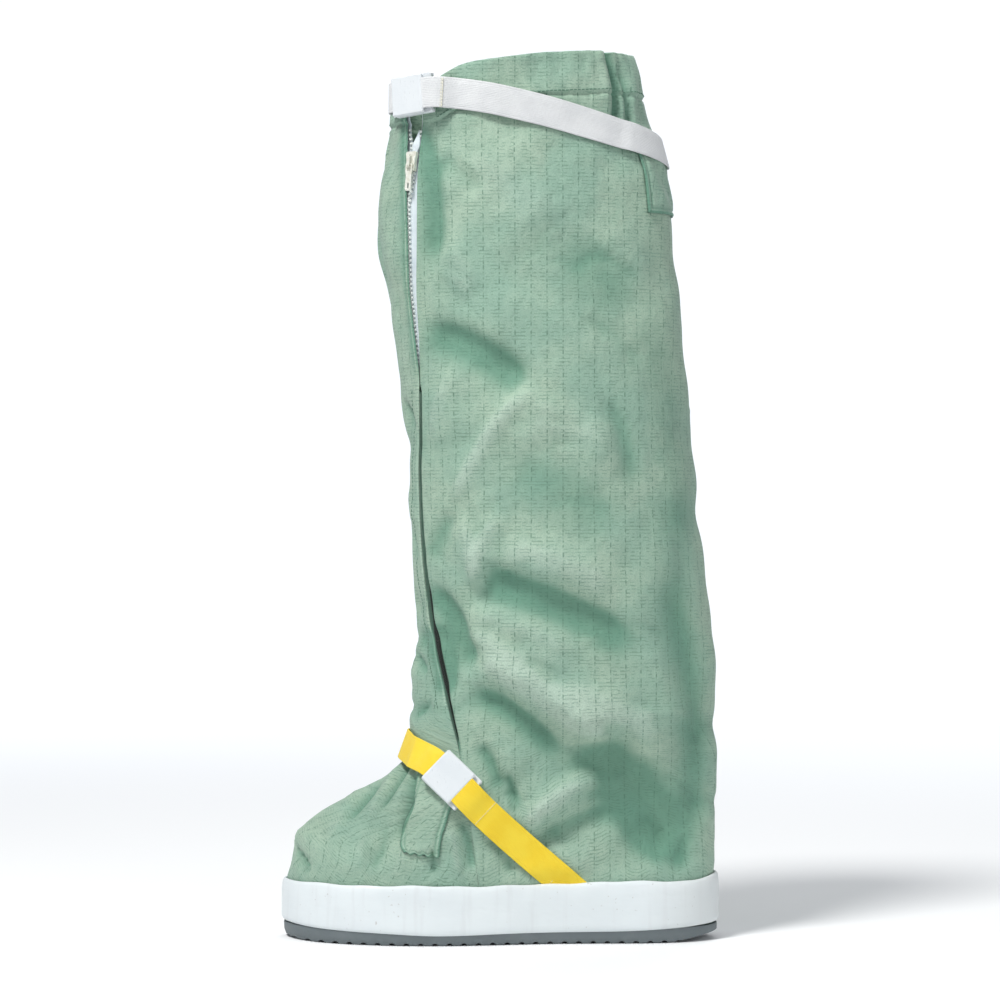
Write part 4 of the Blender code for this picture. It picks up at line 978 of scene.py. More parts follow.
def upper_rows():
    """Heights of the rows: close at the hem's seam and the collar's edge."""
    foot = np.linspace(SOLE_TOP, FOXING_HEIGHT - 0.002, 4)
    middle = np.linspace(FOXING_HEIGHT, BOOT_HEIGHT - HEM_HEIGHT - 0.005, 158)
    seam = BOOT_HEIGHT - HEM_HEIGHT + np.array([-3.5, -2.2, -1.4, -0.8, -0.2, 0.5, 1.3, 2.4]) * 0.001
    casing = np.linspace(BOOT_HEIGHT - HEM_HEIGHT + 0.0045, BOOT_HEIGHT - 0.003, 8)
    edge = BOOT_HEIGHT - np.array([1.6, 0.7, 0.0]) * 0.001
    return np.concatenate([foot, middle, seam, casing, edge])


def build_upper():
    heights = upper_rows()
    low = 0.80 * BOOT_HEIGHT
    grid, cloth = [], []
    for height in heights:
        behind = upper_columns(height)
        share = zip_share(height) + behind / girth(height)
        x = read_chart(PLACES, share, height)[..., 0]
        z = height - rim_dip(x) * smooth((height - low) / (BOOT_HEIGHT - HEM_HEIGHT - low))
        if height > low:
            behind = np.array([upper_columns(level)[k] for k, level in enumerate(z)])
        share = zip_share(z) + behind / girth(z)
        front_edge = behind[-1] - behind
        lift = relief(share % 1.0, z) + placket(front_edge, z) - groove(behind, z)
        grid.append(read_chart(PLACES, share, z) + read_chart(NORMALS, share, z) * lift[:, None])
        place, normal = read_chart(PLACES, share, z), read_chart(NORMALS, share, z)
        # The third value of the cloth coordinate drives painted shading in the fabric's colour: the depth
        # of folds and pleats, so that troughs are painted darker and ridges lighter.
        painted_shading = np.maximum(folds(place, normal) + pleats(place, normal), -0.0080)
        edge = (z > PLACKET_TOE) * (z < SLIT_END + 0.004)
        # Painted highlight along the placket's folded edge, and painted shadow in the groove behind it.
        painted_edge_highlight = 0.0050 * hill(front_edge - 0.0013, 0.0005) * (z > PLACKET_FULL)
        painted_shading = painted_shading - 4.0 * groove(behind, z) + painted_edge_highlight
        # Painted shadow: near black in the placket's gap below the open part.
        painted_shading = np.where(edge * (front_edge < 0.0002), -0.0140, painted_shading)
        # Painted shade in a strip in front of the open zip.
        painted_shading = painted_shading - 0.0050 * hill(front_edge, 0.0055) * smooth((z - SLIT_END) / 0.03)
        arc = share * girth(z) - outer_share(0.02, height) * girth(height)
        on_foot = 0.85 * smooth((0.150 - height) / 0.035)
        across = place[:, 0] - 0.02
        ends = back_of(height) - 0.02, front_of(height) - 0.02
        inner = np.where(share < 1, 2 * ends[0] - across, 2 * (ends[0] - ends[1]) + across)
        across = np.where(share < 0.5, across, inner)
        arc = (1 - on_foot) * arc + on_foot * across
        cloth.append(np.column_stack([arc, z, painted_shading]))
    grid, cloth = np.array(grid), np.array(cloth)
    lengths = np.linalg.norm(np.diff(grid, axis=0), axis=2)
    extra = np.cumsum((lengths - np.diff(cloth[..., 1], axis=0))[::-1], axis=0)[::-1]
    cloth[:-1, :, 1] -= extra * smooth((0.16 - cloth[:-1, :, 1]) / 0.05)
    closed = heights <= SLIT_END

    def weld(index):
        index[closed, -1] = index[closed, 0]
        return index

    upper = grid_object("fabric_upper", grid, SAGE, cloth, weld=weld)
    modify(upper, "SOLIDIFY", thickness=UPPER_WALL, offset=-1, use_even_offset=False)
    dress(upper, "fabric", "boot", "upper")
    return upper


upper = build_upper()

# %% [markdown]
# ## Sole, white band and insole
# A vulcanised band of white rubber runs round the foot and hides the joint of fabric and
# sole. Below it the grey outsole ends in flat cross lugs. Both follow the same outline from
# above, drawn in by a few tenths at their rounded edges, so each is a ring of the outline
# repeated at several heights.

# %% Rubber finishes


def grey_rubber():
    mix = Recipe("grey rubber")
    place = mix.place()
    dust = mix.between(mix.noise(place, 60.0, 4.0), 0.45, 0.75, 0.0, 0.35)
    tone = mix.blend(dust, (0.130, 0.156, 0.166), (0.220, 0.245, 0.255))
    grain = mix.noise(place, 1500.0, 2.0)
    return mix.finish(tone, mix.between(dust, 0.0, 0.35, 0.55, 0.8), grain, 0.0002)


def white_band():
    """Off-white rubber with faint upright smears, specks and a greyer heel."""
    mix = Recipe("white band")
    place = mix.place()
    upright = mix.noise(mix.stretched(place, (150.0, 150.0, 14.0)), 1.0, 3.0)
    smear = mix.between(upright, 0.52, 0.74, 0.0, 0.30)
    patch = mix.between(mix.noise(place, 22.0, 3.0), 0.40, 0.70, 0.0, 0.45)
    tone = mix.blend(patch, (0.725, 0.775, 0.795), (0.640, 0.690, 0.715))
    tone = mix.blend(smear, tone, (0.600, 0.620, 0.640))
    speck = mix.between(mix.noise(place, 420.0, 1.0), 0.73, 0.78, 0.0, 0.55)
    tone = mix.blend(speck, tone, (0.420, 0.400, 0.380))
    parts = mix.add("SeparateXYZ", {0: place}).outputs
    heel = mix.between(parts[0], 0.085, 0.140, 0.0, 0.55)
    tone = mix.blend(heel, tone, (0.640, 0.665, 0.660))
    wave = mix.noise(mix.stretched(place, (40.0, 40.0, 90.0)), 1.0, 3.0)
    return mix.finish(tone, mix.between(patch, 0.0, 0.45, 0.42, 0.6), wave, 0.0006)


def insole_board():
    mix = Recipe("insole board")
    place = mix.place()
    weave = mix.noise(place, 900.0, 1.0)
    tone = mix.blend(weave, (0.48, 0.52, 0.50), (0.62, 0.65, 0.62))
    return mix.finish(tone, 0.9, weave, 0.0003)


# %% Rings of the outline
RING_COLUMNS = 320
LUG_PITCH = 0.0093
LUG_GROOVE_RADIUS = 0.0022
LUG_GROOVE_DEPTH = 0.0018
FOXING_HEEL_LIP = 0.0035


def ring_stack(profile, lift=None):
    """The sole's outline at each (height, inset) of a profile."""
    rings = []
    for row in profile:
        ring = sole_ring(row[1], RING_COLUMNS)
        z = np.full(RING_COLUMNS, row[0])
        if lift:
            z = z + lift(ring[:, 0], row)
        rings.append(np.column_stack([ring, z]))
    return np.array(rings)


def plain_coordinate(grid):
    return np.zeros(grid.shape)


SOLE_LINE = [
    # along, how much higher the band's lower edge is than in the solid, in mm
    (-0.500, 1.2), (-0.400, -0.8), (-0.250, -2.4), (-0.130, -3.6), (0.050, -2.6), (0.250, -2.2),
    (0.390, -0.6), (0.500, 1.6),
]


BAND_TOP_LINE = [
    # along, how much higher the band's upper edge is than in the solid, in mm
    (-0.500, -1.6), (-0.250, -1.2), (0.000, -1.5), (0.100, -1.2), (0.200, 0.0), (0.300, 0.4), (0.500, 0.0),
]


def build_foxing():
    top = FOXING_HEIGHT
    profile = [
        # height, inset, share of the heel's lip
        (SOLE_TOP, 0.0013, 0.0), (SOLE_TOP + 0.0006, 0.0006, 0.0), (SOLE_TOP + 0.0016, 0.0001, 0.0),
        (SOLE_TOP + 0.004, 0.0, 0.0), (0.45 * top, 0.0001, 0.1), (0.60 * top, 0.0001, 0.3),
        (0.80 * top, 0.0001, 0.5), (0.90 * top, 0.0004, 0.85), (0.95 * top, 0.0008, 0.95),
        (0.985 * top, 0.0014, 1.0), (top, 0.0020, 1.0), (1.003 * top, 0.0025, 1.0),
        (0.995 * top, FOXING_WALL, 1.0), (0.8 * top, FOXING_WALL, 0.5), (SOLE_TOP, FOXING_WALL, 0.0),
    ]

    def lip(x, row):
        if row[0] < 0.5 * FOXING_HEIGHT and row[2] < 0.2:
            low = smooth(1 - (row[0] - SOLE_TOP) / (0.5 * FOXING_HEIGHT - SOLE_TOP))
            return low * through(SOLE_LINE, 1, x / SOLE_LENGTH) * 0.001
        heel = FOXING_HEEL_LIP * smooth((x - 0.86 * HALF_SOLE) / (0.14 * HALF_SOLE))
        wave = 0.0003 * np.sin(x * 90) + 0.0003 * np.sin(x * 210 + 1)
        return row[2] * (heel + wave + through(BAND_TOP_LINE, 1, x / SOLE_LENGTH) * 0.001)

    grid = ring_stack(profile, lip)
    foxing = grid_object("white_band", grid, white_band(), plain_coordinate(grid), True, True)
    dress(foxing, "band", "boot", "foxing")


def build_outsole():
    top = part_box("outsole")[1][2]
    profile = [
        (top, 0.0016), (0.97 * top, 0.0015), (0.80 * top, 0.0015), (0.60 * top, 0.0016),
        (0.45 * top, 0.0018), (0.28 * top, 0.0024), (0.15 * top, 0.0030), (0.05 * top, 0.0038),
        (0.0, 0.0045),
    ]
    grid = ring_stack(profile)
    outsole = grid_object("tread_sole", grid, grey_rubber(), plain_coordinate(grid), False, True, caps=True)
    work = bmesh.new()
    last = int(HALF_SOLE / LUG_PITCH)
    for k in range(-last, last):
        across = Matrix.Translation(((k + 0.5) * LUG_PITCH, 0, LUG_GROOVE_DEPTH - LUG_GROOVE_RADIUS))
        bmesh.ops.create_cone(
            work, cap_ends=True, segments=14, radius1=LUG_GROOVE_RADIUS, radius2=LUG_GROOVE_RADIUS,
            depth=2 * BALL_WIDTH, matrix=across @ Matrix.Rotation(math.pi / 2, 4, "X"),
        )
    for end, length, rise in ((1, 0.0340, 0.0062), (-1, 0.0240, 0.0020)):
        place = Matrix.Translation((end * (HALF_SOLE - length), 0, 0))
        tilt = Matrix.Rotation(-end * math.atan2(rise, length), 4, "Y")
        size = Matrix.Diagonal((2 * length, 2 * BALL_WIDTH, 0.02, 1))
        shift = Matrix.Translation((end * length, 0, -0.01))
        bmesh.ops.create_cube(work, size=1, matrix=place @ tilt @ shift @ size)
    mesh = bpy.data.meshes.new("groove bars")
    work.to_mesh(mesh)
    work.free()
    bars = bpy.data.objects.new("groove_bars", mesh)
    bpy.context.scene.collection.objects.link(bars)
    modify(outsole, "BOOLEAN", object=bars, operation="DIFFERENCE", use_self=True)
    bpy.context.view_layer.update()
    cut = bpy.data.meshes.new_from_object(outsole.evaluated_get(bpy.context.evaluated_depsgraph_get()))
    outsole.modifiers.clear()
    outsole.data = cut
    bpy.data.objects.remove(bars)
    cut.set_sharp_from_angle(angle=math.radians(35))
    dress(outsole, "rubber", "boot", "outsole")


def build_insole():
    low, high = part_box("insole")
    inset = UPPER_INSET + UPPER_WALL + 0.0011
    thick = high[2] - low[2]
    profile = [
        (low[2], inset), (low[2] + 0.7 * thick, inset),
        (high[2] - 0.0002, inset + 0.0004), (high[2], inset + 0.0012),
    ]
    grid = ring_stack(profile)
    flat = plain_coordinate(grid)
    insole = grid_object("insole_board", grid, insole_board(), flat, False, True, caps=True)
    dress(insole, "board", "boot", "insole")


build_foxing()
build_outsole()
build_insole()

# %% [markdown]
# ## Straps
# Both straps are 20 mm webbing, white at the collar and yellow at the ankle. Pulled taut,
# webbing bridges the hollows of the fabric and rests on its ridges. Each strap is a ribbon
# whose height over the skin is the highest relief nearby, smoothed. Its ribs are bump.

# %% Webbing finishes
RIB_PITCH = 0.00085


def webbing(name, colour, shade):
    """Ribbed webbing. Its coordinate runs across (x) and along (y) the strap."""
    mix = Recipe(name)
    web, across, along, _ = mix.coordinate("cloth")
    slanting = mix.math("ADD", along, mix.math("MULTIPLY", across, 0.35))
    rib = mix.line(slanting, RIB_PITCH, RIB_PITCH)
    cord = mix.line(across, 0.0011, 0.0011)
    edge = mix.between(mix.math("ABSOLUTE", across), 0.0086, 0.0094)
    patch = mix.between(mix.noise(web, 55.0, 3.0), 0.35, 0.7)
    tone = mix.blend(patch, colour, shade)
    tone = mix.blend(mix.math("MULTIPLY", rib, 0.05), tone, (0.3, 0.3, 0.3), "MULTIPLY")
    height = mix.math("ADD", mix.math("MULTIPLY", rib, 0.6), mix.math("MULTIPLY", cord, 0.4))
    height = mix.math("ADD", height, mix.math("MULTIPLY", edge, 0.8))
    return mix.finish(tone, mix.between(patch, 0, 1, 0.55, 0.7), height, 0.00025, sheen=0.1)


WHITE_WEB = webbing("white webbing", (0.775, 0.79, 0.80), (0.71, 0.725, 0.74))
YELLOW_WEB = webbing("yellow webbing", (0.97, 0.715, 0.030), (0.93, 0.65, 0.020))

# %% A ribbon that lies taut over the relief
WEB_WIDTH = 0.0200
WEB_THICKNESS = 0.0012
ACROSS = np.array([-0.5, -0.49, -0.46, -0.3, -0.1, 0.1, 0.3, 0.46, 0.49, 0.5])
EDGE_ROUND = np.array([0.5, 0.2, 0.0, 0.0, 0.0, 0.0, 0.0, 0.0, 0.2, 0.5])


def taut(levels, window):
    """Highest level within the window, then smoothed, along the first axis."""
    reach = range(-window, window + 1)
    padded = np.pad(levels, ((window, window), (0, 0)), mode="edge")
    highest = np.max([padded[window + k: window + k + len(levels)] for k in reach], axis=0)
    padded = np.pad(highest, ((window, window), (0, 0)), mode="edge")
    weights = np.hanning(2 * window + 3)[1:-1]
    smoothed = sum(w * padded[window + k: window + k + len(levels)] for w, k in zip(weights, reach))
    return smoothed / weights.sum()


def share_near(points):
    """Share and height of the skin under points close to it."""
    z = points[..., 2]
    ring = read_chart(PLACES, SHARES[None, :-1], z.reshape(-1, 1))
    gap = np.linalg.norm(ring - points.reshape(-1, 1, 3), axis=2)
    return SHARES[gap.argmin(axis=1)].reshape(z.shape), z


def tops_of(node, seats, out, reach=0.012):
    """Height of a solid's top over the middle of a ribbon, or below it where there is none."""
    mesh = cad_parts[node].data
    corners = [corner.co[:] for corner in mesh.vertices]
    tree = BVHTree.FromPolygons(corners, [face.vertices[:] for face in mesh.polygons])
    heights = np.full(len(seats), -reach)
    for i, across in enumerate(seats):
        for seat in across[3:7]:
            distance = tree.ray_cast(Vector(seat + out[i] * reach), Vector(-out[i]), 2 * reach)[3]
            if distance is not None:
                heights[i] = max(heights[i], reach - distance)
    return heights


def smoothed(values, reach, closed):
    """Running average over a few neighbours along the first axis."""
    mode = "wrap" if closed else "edge"
    padded = np.pad(values, ((reach, reach), (0, 0)), mode=mode)
    weights = np.hanning(2 * reach + 3)[1:-1]
    total = sum(w * padded[k: k + len(values)] for k, w in enumerate(weights))
    return total / weights.sum()


TUCK_ABOVE, TUCK_LENGTH, TUCK_SINK = 0.0090, 0.0085, 0.0004


def lay_ribbon(name, path, look, closed, over_frame=None, gap=0.0006, lift=None, window=5):
    """A rounded ribbon along a path of places on the skin, flat across as webbing is."""
    ahead = np.roll(path, -1, axis=0) if closed else np.vstack([path[1:], 2 * path[-1:] - path[-2:-1]])
    behind = np.roll(path, 1, axis=0) if closed else np.vstack([2 * path[:1] - path[1:2], path[:-1]])
    along = ahead - behind
    share, z = share_near(path)
    out = smoothed(read_chart(NORMALS, share, z), 6, closed)
    out /= np.linalg.norm(out, axis=1, keepdims=True)
    along = smoothed(along, 4, closed)
    along -= out * (along * out).sum(axis=1, keepdims=True)
    along /= np.linalg.norm(along, axis=1, keepdims=True)
    across = np.cross(out, along)
    seats = path[:, None] + across[:, None] * (ACROSS * WEB_WIDTH)[None, :, None]
    seat_share, seat_z = share_near(seats)
    base = read_chart(PLACES, seat_share, seat_z)
    normal = read_chart(NORMALS, seat_share, seat_z)
    skin = base + normal * relief(seat_share, seat_z)[..., None]
    cloth_level = ((skin - seats) * out[:, None]).sum(axis=2)
    level = cloth_level[:, 1:-1].max(axis=1, keepdims=True)
    level = np.maximum(level, -STRAP_DENT)
    if over_frame:
        level = np.maximum(level, tops_of(over_frame, seats, out)[:, None] + 0.0003)
    if closed:
        level = taut(np.vstack([level[-20:], level, level[:20]]), window)[20:-20]
    else:
        level = taut(level, window)
    level = level + gap
    if lift is not None:
        level = level + lift[:, None]
    level = np.repeat(level, len(ACROSS), axis=1)
    behind_band = smooth((FOXING_HEIGHT + TUCK_ABOVE - seats[..., 2]) / TUCK_LENGTH)
    level = level * (1 - behind_band) + (cloth_level - TUCK_SINK) * behind_band
    normal = np.repeat(out[:, None], len(ACROSS), axis=1)
    round_edge = EDGE_ROUND * WEB_THICKNESS
    under = seats + normal * (level + round_edge)[..., None]
    over = seats + normal * (level + WEB_THICKNESS - round_edge)[..., None]
    grid = np.concatenate([under, over[:, ::-1]], axis=1)
    travelled = np.concatenate([[0], np.cumsum(np.linalg.norm(np.diff(path, axis=0), axis=1))])
    sides = np.concatenate([ACROSS, ACROSS[::-1]]) * WEB_WIDTH
    coordinate = np.stack(np.broadcast_arrays(sides[None, :], travelled[:, None], 0.0), axis=-1)
    ribbon = grid_object(name, grid, look, coordinate, closed, True, caps=not closed)
    return ribbon, seats, normal, level, along


# %% Lay both straps
STEP = 0.0016


def evenly(points, step, closed):
    """The same line with its points an even step apart."""
    line = np.vstack([points, points[:1]]) if closed else points
    travelled = np.concatenate([[0], np.cumsum(np.linalg.norm(np.diff(line, axis=0), axis=1))])
    count = round(travelled[-1] / step)
    stops = np.linspace(0, travelled[-1], count, endpoint=not closed)
    return np.column_stack([np.interp(stops, travelled, line[:, k]) for k in range(3)])


def top_strap_path():
    share = np.linspace(0, 1, 400, endpoint=False)
    z = through(TOP_STRAP_LINE, 1, 1 - np.abs(1 - 2 * share)) * BOOT_HEIGHT
    z = smoothed(z[:, None], 12, True)[:, 0]
    return evenly(read_chart(PLACES, share, z), STEP, True)


def ankle_strap_path():
    along = np.linspace(ANKLE_STRAP_LINE[0][0], ANKLE_STRAP_LINE[-1][0], 120)
    z = FOXING_HEIGHT + through(ANKLE_STRAP_LINE, 1, along) * INSTEP_RISE
    share = outer_share(along * SOLE_LENGTH, z)
    outer = read_chart(PLACES, share, z)
    half = len(SHARES) // 2
    inner_share = []
    for x, level in zip(along * SOLE_LENGTH, z):
        ring = read_chart(PLACES, SHARES[half:-1], level)[:, 0]
        inner_share.append(np.interp(-x, -ring, SHARES[half:-1]))
    inner = read_chart(PLACES, np.array(inner_share), z)
    turn = np.linspace(inner_share[0] - 1, share[0], 30)[1:-1]
    crest = 1 - (turn / np.where(turn < 0, turn[0], turn[-1])) ** 2
    front = read_chart(PLACES, turn, z[0] + ANKLE_STRAP_CREST * crest)
    return evenly(np.vstack([inner[::-1], front, outer]), STEP, False)


SLOT_SHARES = (-0.060, 0.045)
SLOT_SINK = 0.0048
top_path = top_strap_path()
turn_share = (share_near(top_path)[0] + 0.5) % 1.0 - 0.5
over_tab = 0.0016 * smooth((np.abs(turn_share) - 0.395) / 0.02)
through_slot = smooth((turn_share - SLOT_SHARES[0]) / 0.014) * smooth((SLOT_SHARES[1] - turn_share) / 0.008)
top_strap, top_seats, top_out, top_level, top_along = lay_ribbon(
    "collar_strap", top_path, WHITE_WEB, True, "top_buckle_frame", lift=over_tab - SLOT_SINK * through_slot
)
dress(top_strap, "white_webbing", "boot", "top_strap")
ankle_path = ankle_strap_path()
ankle_strap, ankle_seats, ankle_out, ankle_level, ankle_along = lay_ribbon(
    "ankle_webbing", ankle_path, YELLOW_WEB, False, "ankle_buckle_frame"
)
dress(ankle_strap, "yellow_webbing", "boot", "ankle_strap")

# %% [markdown]
# ## Zip
# The zip is part open: white tapes with moulded teeth, a slider near the top and a small pull
# that swings on it. Every tooth is a small rounded block, because a row of them catches the
# light as beads, which a bump never does. The tapes follow the fabric just under it.

# %% Finishes of the zip and the plastic


def zip_tape():
    mix = Recipe("zip tape")
    cloth, across, along, _ = mix.coordinate("cloth")
    rib = mix.line(across, 0.0009, 0.0009)
    weft = mix.line(along, 0.0007, 0.0007)
    patch = mix.between(mix.noise(cloth, 120.0, 3.0), 0.35, 0.7)
    tone = mix.blend(patch, (0.80, 0.88, 0.93), (0.72, 0.81, 0.87))
    return mix.finish(tone, 0.75, mix.math("ADD", rib, mix.math("MULTIPLY", weft, 0.6)), 0.0002, sheen=0.1)


def moulded(name, colour, shade, roughness, coat=0.0):
    """Injection-moulded plastic: nearly even, with faint flow marks and small scuffs."""
    mix = Recipe(name)
    place = mix.place()
    flow = mix.between(mix.noise(place, 45.0, 3.0), 0.35, 0.7)
    scratches = mix.noise(mix.stretched(place, (900.0, 900.0, 260.0)), 1.0, 2.0)
    scuff = mix.between(scratches, 0.66, 0.74, 0.0, 0.5)
    tone = mix.blend(flow, colour, shade)
    tone = mix.blend(scuff, tone, tuple(0.8 * part for part in shade))
    grain = mix.noise(place, 700.0, 3.0)
    worn = mix.between(scuff, 0.0, 0.5, roughness, roughness + 0.2)
    return mix.finish(tone, worn, grain, 0.00008, coat=coat)


def plated_metal():
    """Plated die casting, dull where fingers have rubbed it."""
    mix = Recipe("plated metal")
    place = mix.place()
    worn = mix.between(mix.noise(place, 260.0, 4.0), 0.40, 0.65)
    tone = mix.blend(worn, (0.86, 0.87, 0.80), (0.70, 0.70, 0.60))
    pits = mix.noise(place, 1800.0, 3.0)
    return mix.finish(tone, mix.between(worn, 0.0, 1.0, 0.28, 0.46), pits, 0.0001, metal=0.25)


ZIP_TAPE = zip_tape()
TEETH = moulded("zip teeth", (0.78, 0.83, 0.80), (0.68, 0.73, 0.70), 0.38)
METAL = plated_metal()
PLASTIC = moulded("white plastic", (0.71, 0.745, 0.77), (0.66, 0.70, 0.73), 0.40, coat=0.10)
print("finishes so far:", len(bpy.data.materials))

# %% Places along the zip
TAPE_EDGE = 0.0018
CHAIN_WIDTH = 0.0044
TAPE_SINK = 0.0004
CHAIN_ASIDE = 0.0034
TAPE_THICKNESS = 0.0007
TOOTH_PITCH = 0.0030
slider_low, slider_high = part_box("zip_slider")
SLIDER_LENGTH = slider_high[2] - slider_low[2]
SLIDER_PLACE = (slider_high[2] + slider_low[2]) / 2
CHAIN_LOW, ROW_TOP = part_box("zip_chain")[0][2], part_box("zip_row_back")[1][2]
TAPE_LOW, TAPE_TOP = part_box("zip_tape_back")[0][2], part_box("zip_tape_back")[1][2]


def chain_offset(z):
    """Distance of the closed teeth's middle from the back edge of the zip's gap."""
    below = smooth((SLIDER_PLACE - 0.8 * SLIDER_LENGTH - z) / 0.02)
    aside = np.clip(slit_width(z) / 2, 0.0, CHAIN_ASIDE)
    return -np.maximum(CHAIN_WIDTH / 2 + 0.0007, slit_width(z) / 2) - below * aside


def parted(z):
    """Half the gap between the two tapes' edges, which opens above the slider."""
    share = smooth((z - SLIDER_PLACE - 0.3 * SLIDER_LENGTH) / (1.3 * SLIDER_LENGTH))
    return 0.0002 + np.maximum(share * (slit_width(z) / 2 - TAPE_EDGE), 0.0)


def by_zip(offset, z, lift):
    """Places at distances from the zip's line, lifted from just under the fabric."""
    share = zip_share(z) + offset / girth(z)
    level = np.minimum(relief(share % 1.0, z), 0.001) - UPPER_WALL - TAPE_SINK + lift
    return read_chart(PLACES, share, z) + read_chart(NORMALS, share, z) * level[..., None]


def slab(name, under, over, look, coordinate):
    """A closed sheet between a lower and an upper grid of points."""
    grid = np.concatenate([under, over[:, ::-1]], axis=1)
    coordinate = np.concatenate([coordinate, coordinate[:, ::-1]], axis=1)
    return grid_object(name, grid, look, coordinate, False, True, caps=True)


print("slider at mm:", round(1000 * SLIDER_PLACE, 1), "teeth from", round(1000 * CHAIN_LOW, 1))

# %% Tapes


def build_tape(name, node, side):
    z = np.linspace(TAPE_LOW, TAPE_TOP, 200)[:, None]
    across = np.array([0.0, 0.3, 1.2, 2.0, 3.0, 4.5, 6.5, 9.0, 11.5, 12.0])[None, :] * 0.001
    cord = 0.0004 * hill(across - 0.0009, 0.0007)
    offset = chain_offset(z) + side * (parted(z) + across)
    edge = np.where((across < 0.0002) | (across > 0.0118), 0.3, 0.0) * TAPE_THICKNESS
    under = by_zip(offset, z, -TAPE_THICKNESS + edge)
    over = by_zip(offset, z, cord - edge)
    coordinate = np.stack(np.broadcast_arrays(across, z, 0.0), axis=-1)
    dress(slab(name, under, over, ZIP_TAPE, coordinate), "tape", "boot", node)


build_tape("white_tape_back", "zip_tape_back", 1)
build_tape("white_tape_front", "zip_tape_front", -1)

# %% Teeth
TOOTH_SIZE = (0.0026, 0.0018, 0.0021)
TOOTH_ROUND = 0.0006
TOOTH_SEAT = 0.0007


def tooth_block():
    """Corners and faces of one rounded tooth about its middle."""
    work = bmesh.new()
    bmesh.ops.create_cube(work, size=1, matrix=Matrix.Diagonal((*TOOTH_SIZE, 1)))
    bmesh.ops.bevel(work, geom=work.edges[:], offset=TOOTH_ROUND, segments=2, profile=0.5, affect="EDGES")
    work.verts.index_update()
    corners = np.array([corner.co[:] for corner in work.verts])
    faces = [[corner.index for corner in face.verts] for face in work.faces]
    work.free()
    return corners, faces


def build_teeth(name, node, rows):
    """rows: heights, and the side that each of them leans to."""
    corners, faces = tooth_block()
    points, all_faces = [], []
    for heights, side in rows:
        offset = chain_offset(heights) + side * (parted(heights) + 0.0005)
        middle = by_zip(offset, heights, np.full(len(heights), TOOTH_SEAT))
        ahead = by_zip(offset, heights + 0.001, np.full(len(heights), TOOTH_SEAT))
        out = read_chart(NORMALS, zip_share(heights) + offset / girth(heights), heights)
        along = (ahead - middle) / np.linalg.norm(ahead - middle, axis=1, keepdims=True)
        across = np.cross(along, out)
        for place, a, b, c in zip(middle, across, along, out):
            all_faces += [[corner + len(points) * len(corners) for corner in face] for face in faces]
            points.append(place + corners @ np.array([a, b, c]))
    mesh = bpy.data.meshes.new(name)
    mesh.from_pydata(np.concatenate(points).tolist(), [], all_faces)
    mesh.shade_smooth()
    mesh.set_sharp_from_angle(angle=math.radians(50))
    dress(new_object(name, mesh, TEETH), "teeth", "boot", node)


closed = np.arange(CHAIN_LOW + 0.001, SLIDER_PLACE - 0.2 * SLIDER_LENGTH, TOOTH_PITCH)
open_rows = np.arange(SLIDER_PLACE + 0.35 * SLIDER_LENGTH, ROW_TOP, TOOTH_PITCH)
build_teeth("closed_teeth", "zip_chain", [(closed, 1), (closed + TOOTH_PITCH / 2, -1)])
build_teeth("open_teeth_back", "zip_row_back", [(open_rows, 1)])
build_teeth("open_teeth_front", "zip_row_front", [(open_rows + TOOTH_PITCH / 2, -1)])

# %% Top stop
STOP_TOP, STOP_LONG, STOP_WIDE = 0.5290, 0.0160, 0.0064


def build_top_stop():
    """The tape's end, folded into a drop over the last tooth."""
    down, turn = spaced(22)[:, None], np.linspace(0, 2 * math.pi, 20, endpoint=False)[None, :]
    z = STOP_TOP - down * STOP_LONG
    drop = 0.25 + 0.75 * smooth(down / 0.75)
    half = STOP_WIDE / 2 * np.sqrt(np.clip(down * (1 - down) * 4, 0.004, 1)) * drop
    pinch = 1 - 0.25 * hill(down - 0.78, 0.08)
    offset = -0.0022 + half * np.cos(turn) - 0.0016 * down
    lift = 0.0016 + 0.55 * half * np.sin(turn) * pinch
    grid = by_zip(offset, np.broadcast_to(z, offset.shape), lift)
    coordinate = np.stack([offset, np.broadcast_to(z, offset.shape), lift], axis=-1)
    stop = grid_object("top_stop", grid, ZIP_TAPE, coordinate, False, True, caps=True)
    dress(stop, "tape", "boot")


def spaced(count, edge=0.35):
    """0 to 1, closer at both ends."""
    turn = np.linspace(0, 1, count)
    return (1 - edge) * turn + edge * (1 - np.cos(math.pi * turn)) / 2


build_top_stop()

# %% Slider, pull and buckles with soft edges


def rounded_copy(name, node, look, width, slot_name, body="boot", segments=3):
    """The solid's own shape in a new piece, with its edges rounded as a mould leaves them."""
    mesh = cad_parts[node].data.copy()
    mesh.materials.clear()
    work = bmesh.new()
    work.from_mesh(mesh)
    bmesh.ops.remove_doubles(work, verts=work.verts[:], dist=1e-6)
    bmesh.ops.dissolve_limit(work, angle_limit=math.radians(1), verts=work.verts[:], edges=work.edges[:])
    work.to_mesh(mesh)
    work.free()
    mesh.shade_smooth()
    item = new_object(name, mesh, look)
    sharp = math.radians(30)
    modify(item, "BEVEL", width=width, segments=segments, limit_method="ANGLE", angle_limit=sharp)
    modify(item, "WEIGHTED_NORMAL", keep_sharp=True, weight=60)
    dress(item, slot_name, body, node)
    return item


rounded_copy("slider_body", "zip_slider", METAL, 0.0005, "metal")
rounded_copy("pull_tab", "zip_pull", METAL, 0.0003, "metal", "zip_pull")
for place in ("top", "ankle"):
    rounded_copy(place + "_cam_frame", place + "_buckle_frame", PLASTIC, 0.0005, "plastic")
    rounded_copy(place + "_cam_lid", place + "_buckle_lid", PLASTIC, 0.0006, "plastic")

